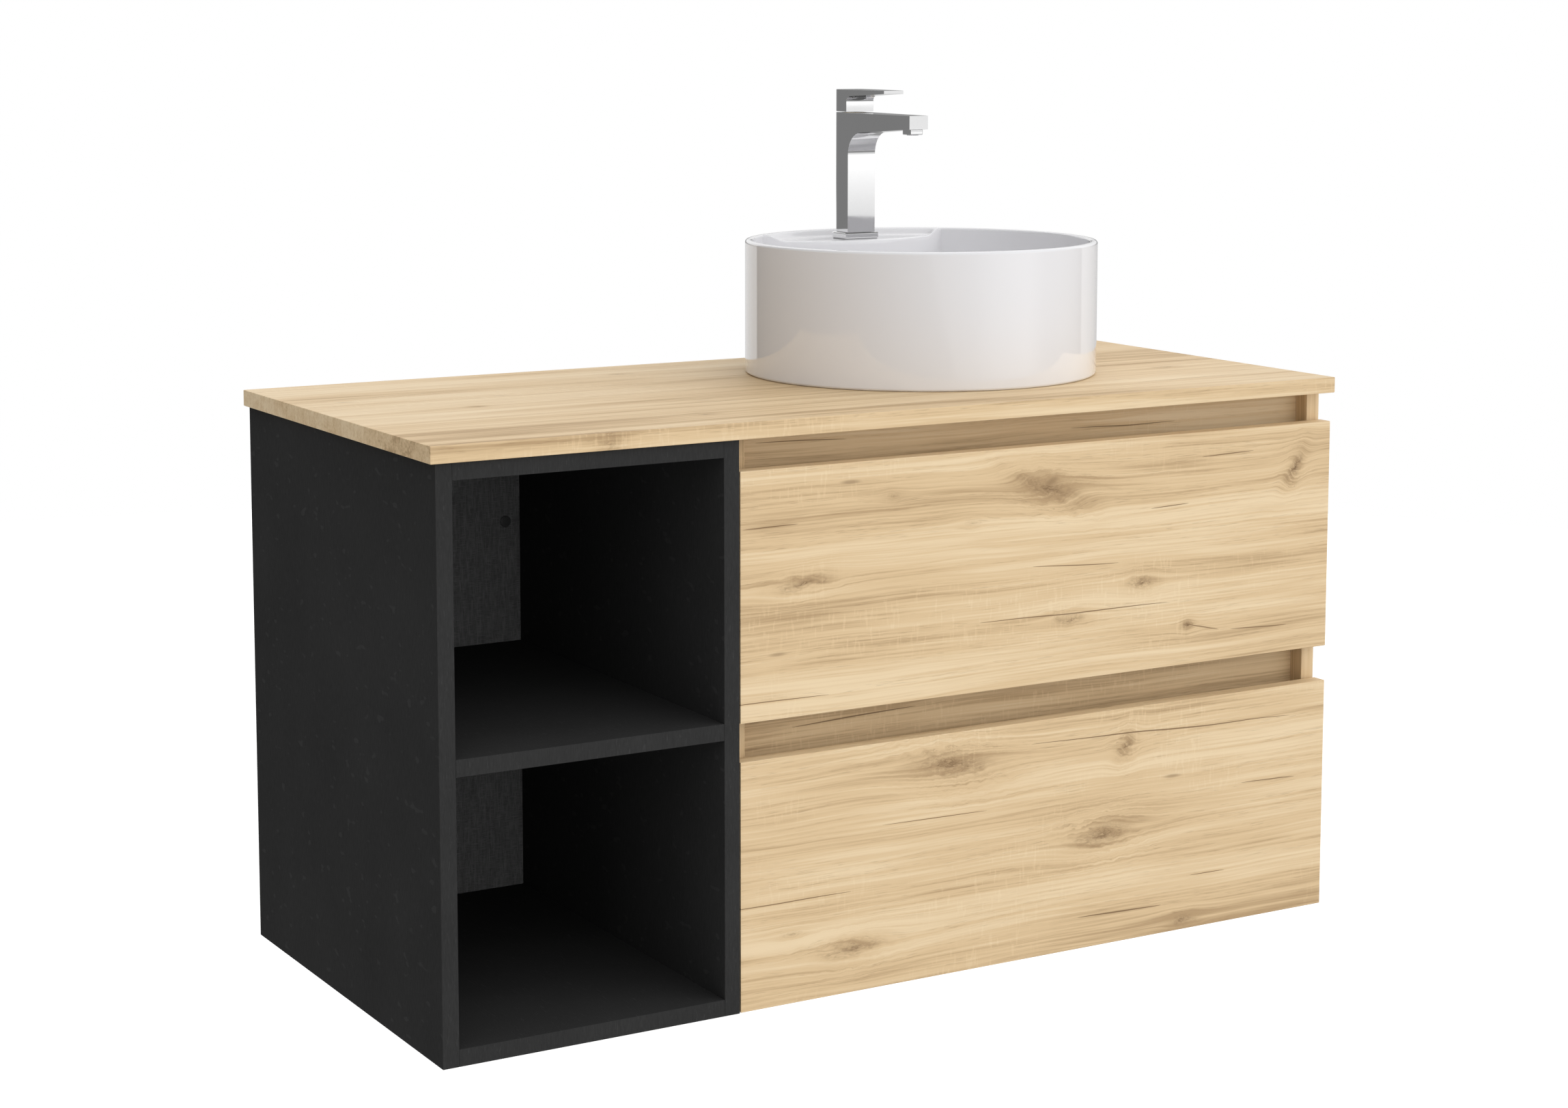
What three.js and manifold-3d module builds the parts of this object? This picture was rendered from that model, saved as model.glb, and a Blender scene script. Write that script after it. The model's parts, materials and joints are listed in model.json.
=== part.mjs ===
// Wall-hung washstand: an open shelf unit and a two-drawer cabinet under one worktop, with a round
// vessel basin and a square single-lever mixer. Millimetres, +Z up, +X to the right, -Y to the room.
// The origin lies on the wall, half way along the worktop, at mid height of the cabinet's wall rail.
import * as THREE from "three";
import { mergeVertices } from "three/addons/utils/BufferGeometryUtils.js";
import Module from "manifold-3d";

const wasm = await Module();
wasm.setup();

// ---------- driving dimensions ----------
const BOARD = 16; // thickness of every carcass board, front and worktop
const WORKTOP = { length: 1008, depth: 460, top: 70 };
const CARCASS_TOP = WORKTOP.top - BOARD;
const CARCASS_HEIGHT = 541;
const CARCASS_BOTTOM = CARCASS_TOP - CARCASS_HEIGHT;
const WALL_Y = 0;
const LEFT_OVERHANG = 6; // worktop past the shelf unit's left side

// Open shelf unit
const SHELF = { width: 301, front: -456, backPanel: 6, backRecess: 13, middleTop: -209 };
const CAP = { radius: 6, thickness: 1.4, fromSide: 16.5, height: -82.5 };

// Drawer cabinet
const CABINET = { gap: 0.5, width: 699.5, sideFront: -436.5, railSetback: 17 };
const FRONT = { face: -455, leftGap: 1, upperTop: 24, upperBottom: -211.5, lowerTop: -248 };
const GRIP_RAIL = { topBottom: 16, middleTop: -203, middleBottom: -262 };
const REAR_RAIL = { back: -20, upper: [-40, 4], lower: [-400, -330] };

// Drawer boxes, which stand on their own bottoms behind the fronts
const DRAWER = { side: 12, bottom: 10, back: -40, runnerGap: 13 };
const UPPER_BOX = { top: -6, bottom: -196 };
const LOWER_BOX = { top: -276, bottom: -456 };
const TRAP_NOTCH = { halfWidth: 65, front: -292 };

// Three-piece drawer runners, each member a flat bar beside the next
const RUNNER = { bar: 4, clearance: 0.3, length: 390, front: -432, heights: [45, 35, 25] };
const RUNNER_LIFT = 43.5; // runner axis above the drawer's underside

// Wall rails and the brackets that hook over them
const WALL_RAIL = { plate: 3, half: 20, reach: 10, lipTop: 30, inset: 12 };
const BRACKET_WIDTH = 30;

// Basin: a round wall, a bowl, and a raised tap ledge across the back
const BASIN = { x: 164.5, y: -200, radius: 183, wall: 8, height: 138, floor: 18, edge: 3 };
const BOWL_FILLET = 26;
const LEDGE = { drop: 7, thickness: 9, frontOffset: 100, halfChord: 109.2 };
const DRAIN = { y: -232, hole: 22, recess: 33, worktopHole: 25 };

// Waste and bottle trap
const WASTE = { flange: 32, tube: 21, bore: 18, bottom: 14, hubTop: 66, hubHeight: 6 };
const PLUG = { radius: 30, stem: 4, stemBottom: 58, thickness: 4.6 };
const TRAP = { pipe: 16, pipeBore: 14, outletZ: -62, bottle: 31, cup: 34, cupBottom: -150 };
const TRAP_FLANGE = { radius: 35, thickness: 5 };

// Mixer
const MIXER = { y: -67, width: 34, depth: 30, backRadius: 8, height: 128, plate: 7 };
const SPOUT = { tip: -194.6, tipWidth: 22.7, tipDrop: 0.6, tipHeight: 14, underRise: 7.5, fillet: 24 };
const AERATOR = { front: -190.8, back: -175.1, width: 15, drop: 5.6 };
const HANDLE = { gap: 1, height: 23.5, front: -78.4, tip: -145.7, tipWidth: 24, tipHeight: 3.5 };
const HANDLE_NOTCH = { depth: 5.5, height: 3.7 };
const CARTRIDGE = { radius: 13, seat: 84.3, height: 33.7 };
const SPINDLE = { radius: 12.5, height: 9.2 };
const PIN = { half: 3, front: -65, back: -60.5, top: 341, room: 1.9, roomAbove: 4 };
const SHANK = { radius: 14, bore: 10, bottom: 150, nut: 18, nutHeight: 10 };
const FIT = 0.3; // running clearance between touching round or cut pieces

const ROUND = 64; // segments of the basin
const SMALL_ROUND = 32; // segments of pipes and fittings

// ---------- materials ----------
const finish = (color, roughness, metalness) =>
  new THREE.MeshStandardMaterial({ color, roughness, metalness });
const FINISH = {
  oak: finish(0xe3cda0, 0.55, 0),
  black: finish(0x262626, 0.5, 0),
  linen: finish(0x2d2d2d, 0.8, 0),
  glaze: finish(0xf4f4f2, 0.08, 0),
  chrome: finish(0xd8dadc, 0.08, 1),
  steel: finish(0xb4b6b8, 0.35, 1),
  plastic: finish(0xf0f0ee, 0.4, 0),
};

// ---------- solids ----------
function solidOf(geometry) {
  const plain = geometry.index ? geometry.toNonIndexed() : geometry.clone();
  plain.deleteAttribute("normal");
  plain.deleteAttribute("uv");
  const merged = mergeVertices(plain, 1e-3);
  return new wasm.Manifold(
    new wasm.Mesh({
      numProp: 3,
      vertProperties: merged.getAttribute("position").array,
      triVerts: new Uint32Array(merged.index.array),
    }),
  );
}

function geometryOf(solid) {
  const mesh = solid.getMesh();
  const geometry = new THREE.BufferGeometry();
  geometry.setAttribute("position", new THREE.BufferAttribute(mesh.vertProperties, 3));
  geometry.setIndex(new THREE.BufferAttribute(mesh.triVerts, 1));
  return geometry;
}

const cut = (body, ...tools) =>
  geometryOf(tools.reduce((left, tool) => left.subtract(solidOf(tool)), solidOf(body)));
const join = (first, ...others) =>
  geometryOf(others.reduce((sum, other) => sum.add(solidOf(other)), solidOf(first)));
const common = (first, second) => geometryOf(solidOf(first).intersect(solidOf(second)));

// A box between two corners on each axis.
function block([x0, x1], [y0, y1], [z0, z1]) {
  const box = new THREE.BoxGeometry(x1 - x0, y1 - y0, z1 - z0);
  return box.translate((x0 + x1) / 2, (y0 + y1) / 2, (z0 + z1) / 2);
}

// A solid of revolution about the vertical axis through (x, y), from a closed outline of [radius, z].
function turned(outline, x, y, segments = SMALL_ROUND) {
  const points = outline.map(([r, z]) => new THREE.Vector2(r, z));
  if (THREE.ShapeUtils.area(points) < 0) points.reverse();
  points.push(points[0].clone());
  return new THREE.LatheGeometry(points, segments).rotateX(Math.PI / 2).translate(x, y, 0);
}

const disc = (radius, z0, z1, x, y, segments) =>
  turned([[0, z0], [radius, z0], [radius, z1], [0, z1]], x, y, segments);
const ring = (outer, inner, z0, z1, x, y, segments) =>
  turned([[inner, z0], [outer, z0], [outer, z1], [inner, z1]], x, y, segments);

// An outline of [y, z] points, or a Shape in those axes, drawn out along X.
function alongX(outline, x0, x1) {
  const shape = Array.isArray(outline) ? polygon(outline) : outline;
  const turn = new THREE.Matrix4().makeBasis(
    new THREE.Vector3(0, 1, 0),
    new THREE.Vector3(0, 0, 1),
    new THREE.Vector3(1, 0, 0),
  );
  const bar = new THREE.ExtrudeGeometry(shape, { depth: x1 - x0, bevelEnabled: false, curveSegments: 8 });
  return bar.applyMatrix4(turn).translate(x0, 0, 0);
}

// An outline of [x, y] points, or a Shape in those axes, drawn up along Z.
function alongZ(outline, z0, z1) {
  const shape = Array.isArray(outline) ? polygon(outline) : outline;
  const slab = new THREE.ExtrudeGeometry(shape, { depth: z1 - z0, bevelEnabled: false, curveSegments: 6 });
  return slab.translate(0, 0, z0);
}

const polygon = (points) => new THREE.Shape(points.map(([u, v]) => new THREE.Vector2(u, v)));

// A plan rectangle with rounded back corners, centred on x.
function roundBacked(x, front, back, width, radius) {
  const half = width / 2;
  const shape = new THREE.Shape();
  shape.moveTo(x - half, front);
  shape.lineTo(x + half, front);
  shape.lineTo(x + half, back - radius);
  shape.absarc(x + half - radius, back - radius, radius, 0, Math.PI / 2, false);
  shape.lineTo(x - half + radius, back);
  shape.absarc(x - half + radius, back - radius, radius, Math.PI / 2, Math.PI, false);
  shape.lineTo(x - half, front);
  return shape;
}

// ---------- assembly ----------
const washstand = new THREE.Group();

function add(name, geometry, material) {
  const mesh = new THREE.Mesh(geometry, material);
  mesh.name = name;
  washstand.add(mesh);
}

// Plan positions shared by the two units
const worktopLeft = -WORKTOP.length / 2;
const shelfX = [worktopLeft + LEFT_OVERHANG, worktopLeft + LEFT_OVERHANG + SHELF.width];
const cabinetX = [shelfX[1] + CABINET.gap, shelfX[1] + CABINET.gap + CABINET.width];
const cabinetInside = [cabinetX[0] + BOARD, cabinetX[1] - BOARD];
const cabinetMiddle = (cabinetX[0] + cabinetX[1]) / 2;
const mirrored = ([x0, x1]) => [2 * cabinetMiddle - x1, 2 * cabinetMiddle - x0];

function addShelfUnit() {
  const [left, right] = shelfX;
  const inside = [left + BOARD, right - BOARD];
  const depth = [SHELF.front, WALL_Y];
  const height = [CARCASS_BOTTOM, CARCASS_TOP];
  const backFace = -SHELF.backRecess - SHELF.backPanel;
  add("shelf_left_side", block([left, inside[0]], depth, height), FINISH.black);
  add("shelf_right_side", block([inside[1], right], depth, height), FINISH.black);
  add("shelf_top_panel", block(inside, depth, [CARCASS_TOP - BOARD, CARCASS_TOP]), FINISH.black);
  add("shelf_bottom_panel", block(inside, depth, [CARCASS_BOTTOM, CARCASS_BOTTOM + BOARD]), FINISH.black);
  const middle = [SHELF.middleTop - BOARD, SHELF.middleTop];
  add("shelf_middle_panel", block(inside, [SHELF.front, backFace], middle), FINISH.black);
  const opening = [CARCASS_BOTTOM + BOARD, CARCASS_TOP - BOARD];
  add("shelf_back_panel", block(inside, [backFace, -SHELF.backRecess], opening), FINISH.linen);
  const caps = { left: inside[0] + CAP.fromSide, right: inside[1] - CAP.fromSide };
  for (const [side, x] of Object.entries(caps)) {
    const cap = disc(CAP.radius, 0, CAP.thickness, 0, 0, 20).rotateX(Math.PI / 2);
    add(`hanger_cap_${side}`, cap.translate(x, backFace - FIT, CAP.height), FINISH.black);
  }
}

function addCabinet() {
  const depth = [CABINET.sideFront, WALL_Y];
  const height = [CARCASS_BOTTOM, CARCASS_TOP];
  add("cabinet_left_side", block([cabinetX[0], cabinetInside[0]], depth, height), FINISH.oak);
  add("cabinet_right_side", block([cabinetInside[1], cabinetX[1]], depth, height), FINISH.oak);
  const floor = [CARCASS_BOTTOM, CARCASS_BOTTOM + BOARD];
  const floorDepth = [CABINET.sideFront, REAR_RAIL.back];
  add("cabinet_bottom_panel", block(cabinetInside, floorDepth, floor), FINISH.oak);
  const gripFace = CABINET.sideFront + CABINET.railSetback;
  const grip = [gripFace, gripFace + BOARD];
  const topGrip = [GRIP_RAIL.topBottom, CARCASS_TOP];
  const middleGrip = [GRIP_RAIL.middleBottom, GRIP_RAIL.middleTop];
  add("cabinet_top_grip_rail", block(cabinetInside, grip, topGrip), FINISH.oak);
  add("cabinet_middle_grip_rail", block(cabinetInside, grip, middleGrip), FINISH.oak);
  const rear = [REAR_RAIL.back - BOARD, REAR_RAIL.back];
  add("cabinet_rear_rail_upper", block(cabinetInside, rear, REAR_RAIL.upper), FINISH.oak);
  add("cabinet_rear_rail_lower", block(cabinetInside, rear, REAR_RAIL.lower), FINISH.oak);
}

function addWorktop() {
  const slab = block([worktopLeft, -worktopLeft], [-WORKTOP.depth, WALL_Y], [CARCASS_TOP, WORKTOP.top]);
  const through = [CARCASS_TOP - 1, WORKTOP.top + 1];
  const wasteHole = disc(DRAIN.worktopHole, ...through, BASIN.x, DRAIN.y);
  const tapHole = disc(DRAIN.worktopHole, ...through, BASIN.x, MIXER.y);
  add("worktop", cut(slab, wasteHole, tapHole), FINISH.oak);
}

// The outline of the trap notch's wall, one bent board round the notch.
function notchedBack(x0, x1) {
  const t = DRAWER.side;
  const back = DRAWER.back;
  const n0 = BASIN.x - TRAP_NOTCH.halfWidth;
  const n1 = BASIN.x + TRAP_NOTCH.halfWidth;
  const front = TRAP_NOTCH.front;
  return [
    [x0, back - t], [n0 - t, back - t], [n0 - t, front - t], [n1 + t, front - t],
    [n1 + t, back - t], [x1, back - t], [x1, back], [n1, back],
    [n1, front], [n0, front], [n0, back], [x0, back],
  ];
}

function addDrawer(level, box, frontHeight, notched) {
  const outer = [cabinetInside[0] + DRAWER.runnerGap, cabinetInside[1] - DRAWER.runnerGap];
  const inner = [outer[0] + DRAWER.side, outer[1] - DRAWER.side];
  const boardBack = FRONT.face + BOARD;
  const height = [box.bottom, box.top];
  const frontX = [cabinetX[0] + FRONT.leftGap, cabinetX[1]];
  add(`${level}_drawer_front`, block(frontX, [FRONT.face, boardBack], frontHeight), FINISH.oak);
  const depth = [boardBack, DRAWER.back];
  add(`${level}_drawer_left_side`, block([outer[0], inner[0]], depth, height), FINISH.linen);
  add(`${level}_drawer_right_side`, block([inner[1], outer[1]], depth, height), FINISH.linen);
  const floor = [box.bottom, box.bottom + DRAWER.bottom];
  const wall = [floor[1], box.top];
  const straight = block(inner, [DRAWER.back - DRAWER.side, DRAWER.back], wall);
  const notchX = [BASIN.x - TRAP_NOTCH.halfWidth, BASIN.x + TRAP_NOTCH.halfWidth];
  const notch = block(notchX, [TRAP_NOTCH.front, DRAWER.back + 1], [floor[0] - 1, floor[1] + 1]);
  const bottom = block(inner, depth, floor);
  add(`${level}_drawer_bottom`, notched ? cut(bottom, notch) : bottom, FINISH.linen);
  const back = notched ? alongZ(notchedBack(...inner), ...wall) : straight;
  add(`${level}_drawer_back`, back, FINISH.linen);
}

function addRunners(level, box) {
  const names = ["fixed", "middle", "drawer"];
  const axis = box.bottom + RUNNER_LIFT;
  const depth = [RUNNER.front, RUNNER.front + RUNNER.length];
  names.forEach((member, i) => {
    const x0 = cabinetInside[0] + i * (RUNNER.bar + RUNNER.clearance);
    const left = [x0, x0 + RUNNER.bar];
    const half = RUNNER.heights[i] / 2;
    const height = [axis - half, axis + half];
    add(`${level}_runner_${member}_left`, block(left, depth, height), FINISH.steel);
    add(`${level}_runner_${member}_right`, block(mirrored(left), depth, height), FINISH.steel);
  });
}

// Wall rail: a flat plate with an upturned lip that the brackets hook over.
function wallRail(x0, x1) {
  const { plate, half, reach, lipTop } = WALL_RAIL;
  const outline = [
    [WALL_Y, -half], [WALL_Y, half], [plate - reach, half], [plate - reach, lipTop],
    [-reach, lipTop], [-reach, half - plate], [-plate, half - plate], [-plate, -half],
  ];
  return alongX(outline, x0, x1);
}

// Bracket outline: a body or plate from front to back, an arm over the lip and a finger behind it.
function bracketOutline(front, back, bottom, top) {
  const finger = [-6.5, -3.5];
  const armBottom = 34;
  return [
    [front, bottom], [back, bottom], [back, armBottom], [finger[0], armBottom],
    [finger[0], 21], [finger[1], 21], [finger[1], top], [front, top],
  ];
}

function addHanging() {
  const inset = WALL_RAIL.inset;
  const shelfInside = [shelfX[0] + BOARD, shelfX[1] - BOARD];
  add("shelf_wall_rail", wallRail(shelfInside[0] + inset, shelfInside[1] - inset), FINISH.steel);
  add("cabinet_wall_rail", wallRail(cabinetInside[0] + inset, cabinetInside[1] - inset), FINISH.steel);
  const shelfBracket = bracketOutline(-12.5, -10.5, -95, 37.5);
  const cabinetBracket = bracketOutline(-62, -12, 5, 45);
  const places = [
    ["shelf_bracket", shelfBracket, shelfInside],
    ["cabinet_bracket", cabinetBracket, cabinetInside],
  ];
  for (const [name, outline, [x0, x1]] of places) {
    add(`${name}_left`, alongX(outline, x0 + FIT, x0 + BRACKET_WIDTH), FINISH.steel);
    add(`${name}_right`, alongX(outline, x1 - BRACKET_WIDTH, x1 - FIT), FINISH.steel);
  }
}

// Heights of the basin's parts
const basinTop = WORKTOP.top + BASIN.height;
const bowlFloor = WORKTOP.top + BASIN.floor;
const ledgeTop = basinTop - LEDGE.drop;
const ledgeUnder = ledgeTop - LEDGE.thickness;

function addBasin() {
  const { x, y, radius, edge } = BASIN;
  const inner = radius - BASIN.wall;
  const bottom = WORKTOP.top;
  const outside = turned(
    [
      [0, bottom], [radius - edge, bottom], [radius, bottom + edge],
      [radius, basinTop - edge], [radius - edge, basinTop], [0, basinTop],
    ],
    x, y, ROUND,
  );
  // The bowl, with its round foot drawn as an arc between wall and floor
  const foot = new THREE.Path();
  foot.absarc(inner - BOWL_FILLET, bowlFloor + BOWL_FILLET, BOWL_FILLET, -Math.PI / 2, 0, false);
  const bowlOutline = [[0, bowlFloor], ...foot.getPoints(5).map((p) => [p.x, p.y])];
  const bowl = turned([...bowlOutline, [inner, basinTop + 1], [0, basinTop + 1]], x, y, ROUND);
  // The ledge's front is an arc through its middle point and the two ends of its chord
  const endOffset = Math.sqrt(inner ** 2 - LEDGE.halfChord ** 2);
  const rise = endOffset - LEDGE.frontOffset;
  const arc = (LEDGE.halfChord ** 2 + rise ** 2) / (2 * rise);
  const arcY = y + LEDGE.frontOffset + arc;
  const ledge = disc(arc, bottom, ledgeTop, x, arcY, ROUND);
  const lowerBowl = cut(bowl, ledge);
  const underRing = disc(inner, bottom - 1, ledgeUnder, x, y, ROUND);
  const underArc = disc(arc - LEDGE.thickness, bottom - 1, ledgeUnder, x, arcY, ROUND);
  const under = common(underRing, underArc);
  const drainHole = disc(DRAIN.hole, bottom - 1, bowlFloor + 1, x, DRAIN.y);
  const drainRecess = disc(DRAIN.recess, bowlFloor - 2, bowlFloor + 1, x, DRAIN.y);
  const tapHole = disc(SHANK.radius + 3, ledgeUnder - 1, ledgeTop + 1, x, MIXER.y);
  const basin = cut(outside, lowerBowl, under, drainHole, drainRecess, tapHole);
  add("basin", basin, FINISH.glaze);
}

function addWaste() {
  const { x } = BASIN;
  const seat = bowlFloor - 2 + FIT;
  const flangeTop = seat + 2;
  const body = turned(
    [
      [WASTE.bore, WASTE.bottom], [WASTE.tube, WASTE.bottom], [WASTE.tube, seat],
      [WASTE.flange, seat], [WASTE.flange, flangeTop], [WASTE.bore, flangeTop],
    ],
    x, DRAIN.y,
  );
  const hub = [WASTE.hubTop - WASTE.hubHeight, WASTE.hubTop];
  const across = WASTE.bore + 1;
  const spider = join(
    block([x - across, x + across], [DRAIN.y - 2, DRAIN.y + 2], hub),
    block([x - 2, x + 2], [DRAIN.y - across, DRAIN.y + across], hub),
    disc(PLUG.stem + 3, ...hub, x, DRAIN.y, 16),
  );
  const guide = disc(PLUG.stem + FIT, hub[0] - 1, hub[1] + 1, x, DRAIN.y, 16);
  add("waste_body", join(body, cut(spider, guide)), FINISH.chrome);
  const plugBottom = flangeTop + FIT;
  const plug = turned(
    [
      [0, PLUG.stemBottom], [PLUG.stem, PLUG.stemBottom], [PLUG.stem, plugBottom],
      [PLUG.radius, plugBottom], [PLUG.radius, plugBottom + 2], [PLUG.radius - 4, plugBottom + 4],
      [0, plugBottom + PLUG.thickness],
    ],
    x, DRAIN.y,
  );
  add("waste_plug", plug, FINISH.chrome);
  const nutTop = CARCASS_TOP - FIT;
  add("waste_nut", ring(WASTE.flange, WASTE.tube + FIT, nutTop - 10, nutTop, x, DRAIN.y, 24), FINISH.steel);
}

// A round bar or pipe along Y between two values of y.
function pipeY(outer, inner, y0, y1, x, z) {
  const tube = inner > 0 ? ring(outer, inner, 0, y1 - y0, 0, 0) : disc(outer, 0, y1 - y0, 0, 0);
  return tube.rotateX(-Math.PI / 2).translate(x, y0, z);
}

function addTrap() {
  const { x } = BASIN;
  const { pipe, pipeBore, bottle, cup, outletZ, cupBottom } = TRAP;
  const collar = WASTE.tube + FIT;
  // Collar round the waste, neck, bottle wall, and the dip tube that hangs inside the bottle
  const shell = turned(
    [
      [collar, 28], [collar + 5, 28], [collar + 5, 6], [pipe + 2, -2], [pipe + 2, -16],
      [bottle, -20], [bottle, -88], [bottle - 3, -88], [bottle - 3, -24], [pipe + 2, -24],
      [pipe + 2, -118], [pipe, -118], [pipe, 10], [collar, 12],
    ],
    x, DRAIN.y,
  );
  const start = DRAIN.y + bottle - 4;
  const socket = pipeY(pipe + 5, 0, start, start + 24, x, outletZ);
  const bore = pipeY(pipe + FIT, 0, start - 1, start + 30, x, outletZ);
  const inside = ring(bottle - 3.01, pipe + 2, -87, -24, x, DRAIN.y);
  add("trap_body", cut(join(shell, cut(socket, inside)), bore), FINISH.plastic);
  const cupProfile = [
    [0, cupBottom], [cup - 8, cupBottom], [cup - 2, cupBottom + 8], [cup - 2, -100],
    [cup, -98], [cup, -86], [bottle + FIT, -86], [bottle + FIT, -98], [bottle - 3, -98],
    [bottle - 3, cupBottom + 9], [cup - 9, cupBottom + 3], [0, cupBottom + 3],
  ];
  add("trap_cup", turned(cupProfile, x, DRAIN.y), FINISH.plastic);
  const outlet = pipeY(pipe, pipeBore, start + 4, WALL_Y, x, outletZ);
  add("trap_outlet_pipe", outlet, FINISH.plastic);
  const flange = pipeY(TRAP_FLANGE.radius, pipe + FIT, WALL_Y - TRAP_FLANGE.thickness, WALL_Y, x, outletZ);
  add("trap_wall_flange", flange, FINISH.plastic);
}

// Heights of the mixer's parts
const mixerBase = ledgeTop + MIXER.plate;
const mixerTop = mixerBase + MIXER.height;
const mixerFront = MIXER.y - MIXER.depth / 2;
const mixerBack = MIXER.y + MIXER.depth / 2;
const spoutTipTop = mixerTop - SPOUT.tipDrop;
const spoutTipBottom = spoutTipTop - SPOUT.tipHeight;
// The spout's underside as a height at any y between its tip and the body
const underSlope = SPOUT.underRise / (mixerFront - SPOUT.tip);
const spoutUnder = (y) => spoutTipBottom - (y - SPOUT.tip) * underSlope;

// A side outline drawn across the full width and trimmed to a plan that narrows to its tip.
function tapered(side, back, front, tip, tipWidth, backRadius) {
  const { x } = BASIN;
  const half = MIXER.width / 2;
  const plan = roundBacked(x, front, back, MIXER.width, backRadius);
  const nose = polygon([
    [x - tipWidth / 2, tip], [x + tipWidth / 2, tip], [x + half, front + 0.5], [x - half, front + 0.5],
  ]);
  const low = mixerBase - 1;
  const high = mixerTop + HANDLE.height + 10;
  const trim = join(alongZ(plan, low, high), alongZ(nose, low, high));
  return common(alongX(side, x - half - 1, x + half + 1), trim);
}

function addMixerBody() {
  const { x } = BASIN;
  const r = SPOUT.fillet;
  const side = new THREE.Shape();
  side.moveTo(mixerBack, mixerBase);
  side.lineTo(mixerBack, mixerTop);
  side.lineTo(SPOUT.tip, spoutTipTop);
  side.lineTo(SPOUT.tip, spoutTipBottom);
  const filletTop = spoutUnder(mixerFront - r);
  side.lineTo(mixerFront - r, filletTop);
  side.absarc(mixerFront - r, filletTop - r, r, Math.PI / 2, 0, true);
  side.lineTo(mixerFront, mixerBase);
  const shell = tapered(side, mixerBack, mixerFront, SPOUT.tip, SPOUT.tipWidth, MIXER.backRadius);
  const seat = mixerBase + CARTRIDGE.seat;
  const socket = disc(CARTRIDGE.radius + FIT, seat, mixerTop + 1, x, MIXER.y);
  const inlet = disc(6, mixerBase - 1, seat + 1, x, MIXER.y, 16);
  const outletY = (AERATOR.front + AERATOR.back) / 2;
  const channelZ = mixerTop - 7.5;
  const channel = pipeY(3.5, 0, outletY, MIXER.y, x, channelZ);
  const mouth = disc(5, spoutUnder(outletY) - 4, channelZ, x, outletY, 16);
  add("mixer_body", cut(shell, socket, inlet, channel, mouth), FINISH.chrome);
  const plateOutline = roundBacked(x, mixerFront - 2, mixerBack + 4, MIXER.width + 8, MIXER.backRadius + 4);
  const plateHole = disc(SHANK.radius + FIT, ledgeTop - 1, mixerBase + 1, x, MIXER.y);
  const plate = cut(alongZ(plateOutline, ledgeTop, mixerBase), plateHole);
  add("mixer_base_plate", plate, FINISH.chrome);
}

function addMixerInside() {
  const { x } = BASIN;
  const seat = mixerBase + CARTRIDGE.seat + FIT;
  const cartridgeTop = seat + CARTRIDGE.height - FIT;
  add("mixer_cartridge", disc(CARTRIDGE.radius, seat, cartridgeTop, x, MIXER.y), FINISH.plastic);
  const spindle = [cartridgeTop + FIT, cartridgeTop + FIT + SPINDLE.height];
  const pin = block([x - PIN.half, x + PIN.half], [PIN.front, PIN.back], [spindle[1] - 1, PIN.top]);
  add("mixer_spindle", join(disc(SPINDLE.radius, ...spindle, x, MIXER.y), pin), FINISH.steel);
  const front = AERATOR.front;
  const back = AERATOR.back;
  const nozzle = [
    [front, spoutUnder(front) - AERATOR.drop], [back, spoutUnder(front) - AERATOR.drop],
    [back, spoutUnder(back) - FIT], [front, spoutUnder(front) - FIT],
  ];
  const half = AERATOR.width / 2;
  const body = alongX(nozzle, x - half, x + half);
  const bore = disc(5, 0, 2 * mixerTop, x, (front + back) / 2, 16);
  add("mixer_aerator", cut(body, bore), FINISH.chrome);
  const shank = ring(SHANK.radius, SHANK.bore, SHANK.bottom, mixerBase - FIT, x, MIXER.y);
  add("mixer_shank", shank, FINISH.steel);
  const nutTop = ledgeUnder - FIT;
  const nutHeight = [nutTop - SHANK.nutHeight, nutTop];
  const hexagon = disc(SHANK.nut, ...nutHeight, x, MIXER.y, 6);
  const thread = disc(SHANK.radius + FIT, nutHeight[0] - 1, nutHeight[1] + 1, x, MIXER.y);
  add("mixer_fixing_nut", cut(hexagon, thread), FINISH.steel);
}

function addHandle() {
  const bottom = mixerTop + HANDLE.gap;
  const top = bottom + HANDLE.height;
  const tipBottom = top - HANDLE.tipHeight;
  const rootUnder = top - 7;
  const r = 6;
  const side = new THREE.Shape();
  side.moveTo(mixerBack - HANDLE_NOTCH.depth, bottom);
  side.lineTo(mixerBack, bottom + HANDLE_NOTCH.height);
  side.lineTo(mixerBack, top);
  side.lineTo(HANDLE.tip, top);
  side.lineTo(HANDLE.tip, tipBottom);
  side.lineTo(HANDLE.front - r, rootUnder);
  side.absarc(HANDLE.front - r, rootUnder - r, r, Math.PI / 2, 0, true);
  side.lineTo(HANDLE.front, bottom);
  const grip = tapered(side, mixerBack, HANDLE.front, HANDLE.tip, HANDLE.tipWidth, MIXER.backRadius);
  // The pocket leaves the spindle's pin free as the lever tilts
  const reach = PIN.half + FIT;
  const pocketY = [PIN.front - PIN.room, PIN.back + PIN.room];
  const pocket = block([BASIN.x - reach, BASIN.x + reach], pocketY, [bottom - 1, PIN.top + PIN.roomAbove]);
  add("mixer_lever", cut(grip, pocket), FINISH.chrome);
}

addShelfUnit();
addCabinet();
addWorktop();
addDrawer("upper", UPPER_BOX, [FRONT.upperBottom, FRONT.upperTop], true);
addDrawer("lower", LOWER_BOX, [CARCASS_BOTTOM, FRONT.lowerTop], false);
addRunners("upper", UPPER_BOX);
addRunners("lower", LOWER_BOX);
addHanging();
addBasin();
addWaste();
addTrap();
addMixerBody();
addMixerInside();
addHandle();

export default washstand;
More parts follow.
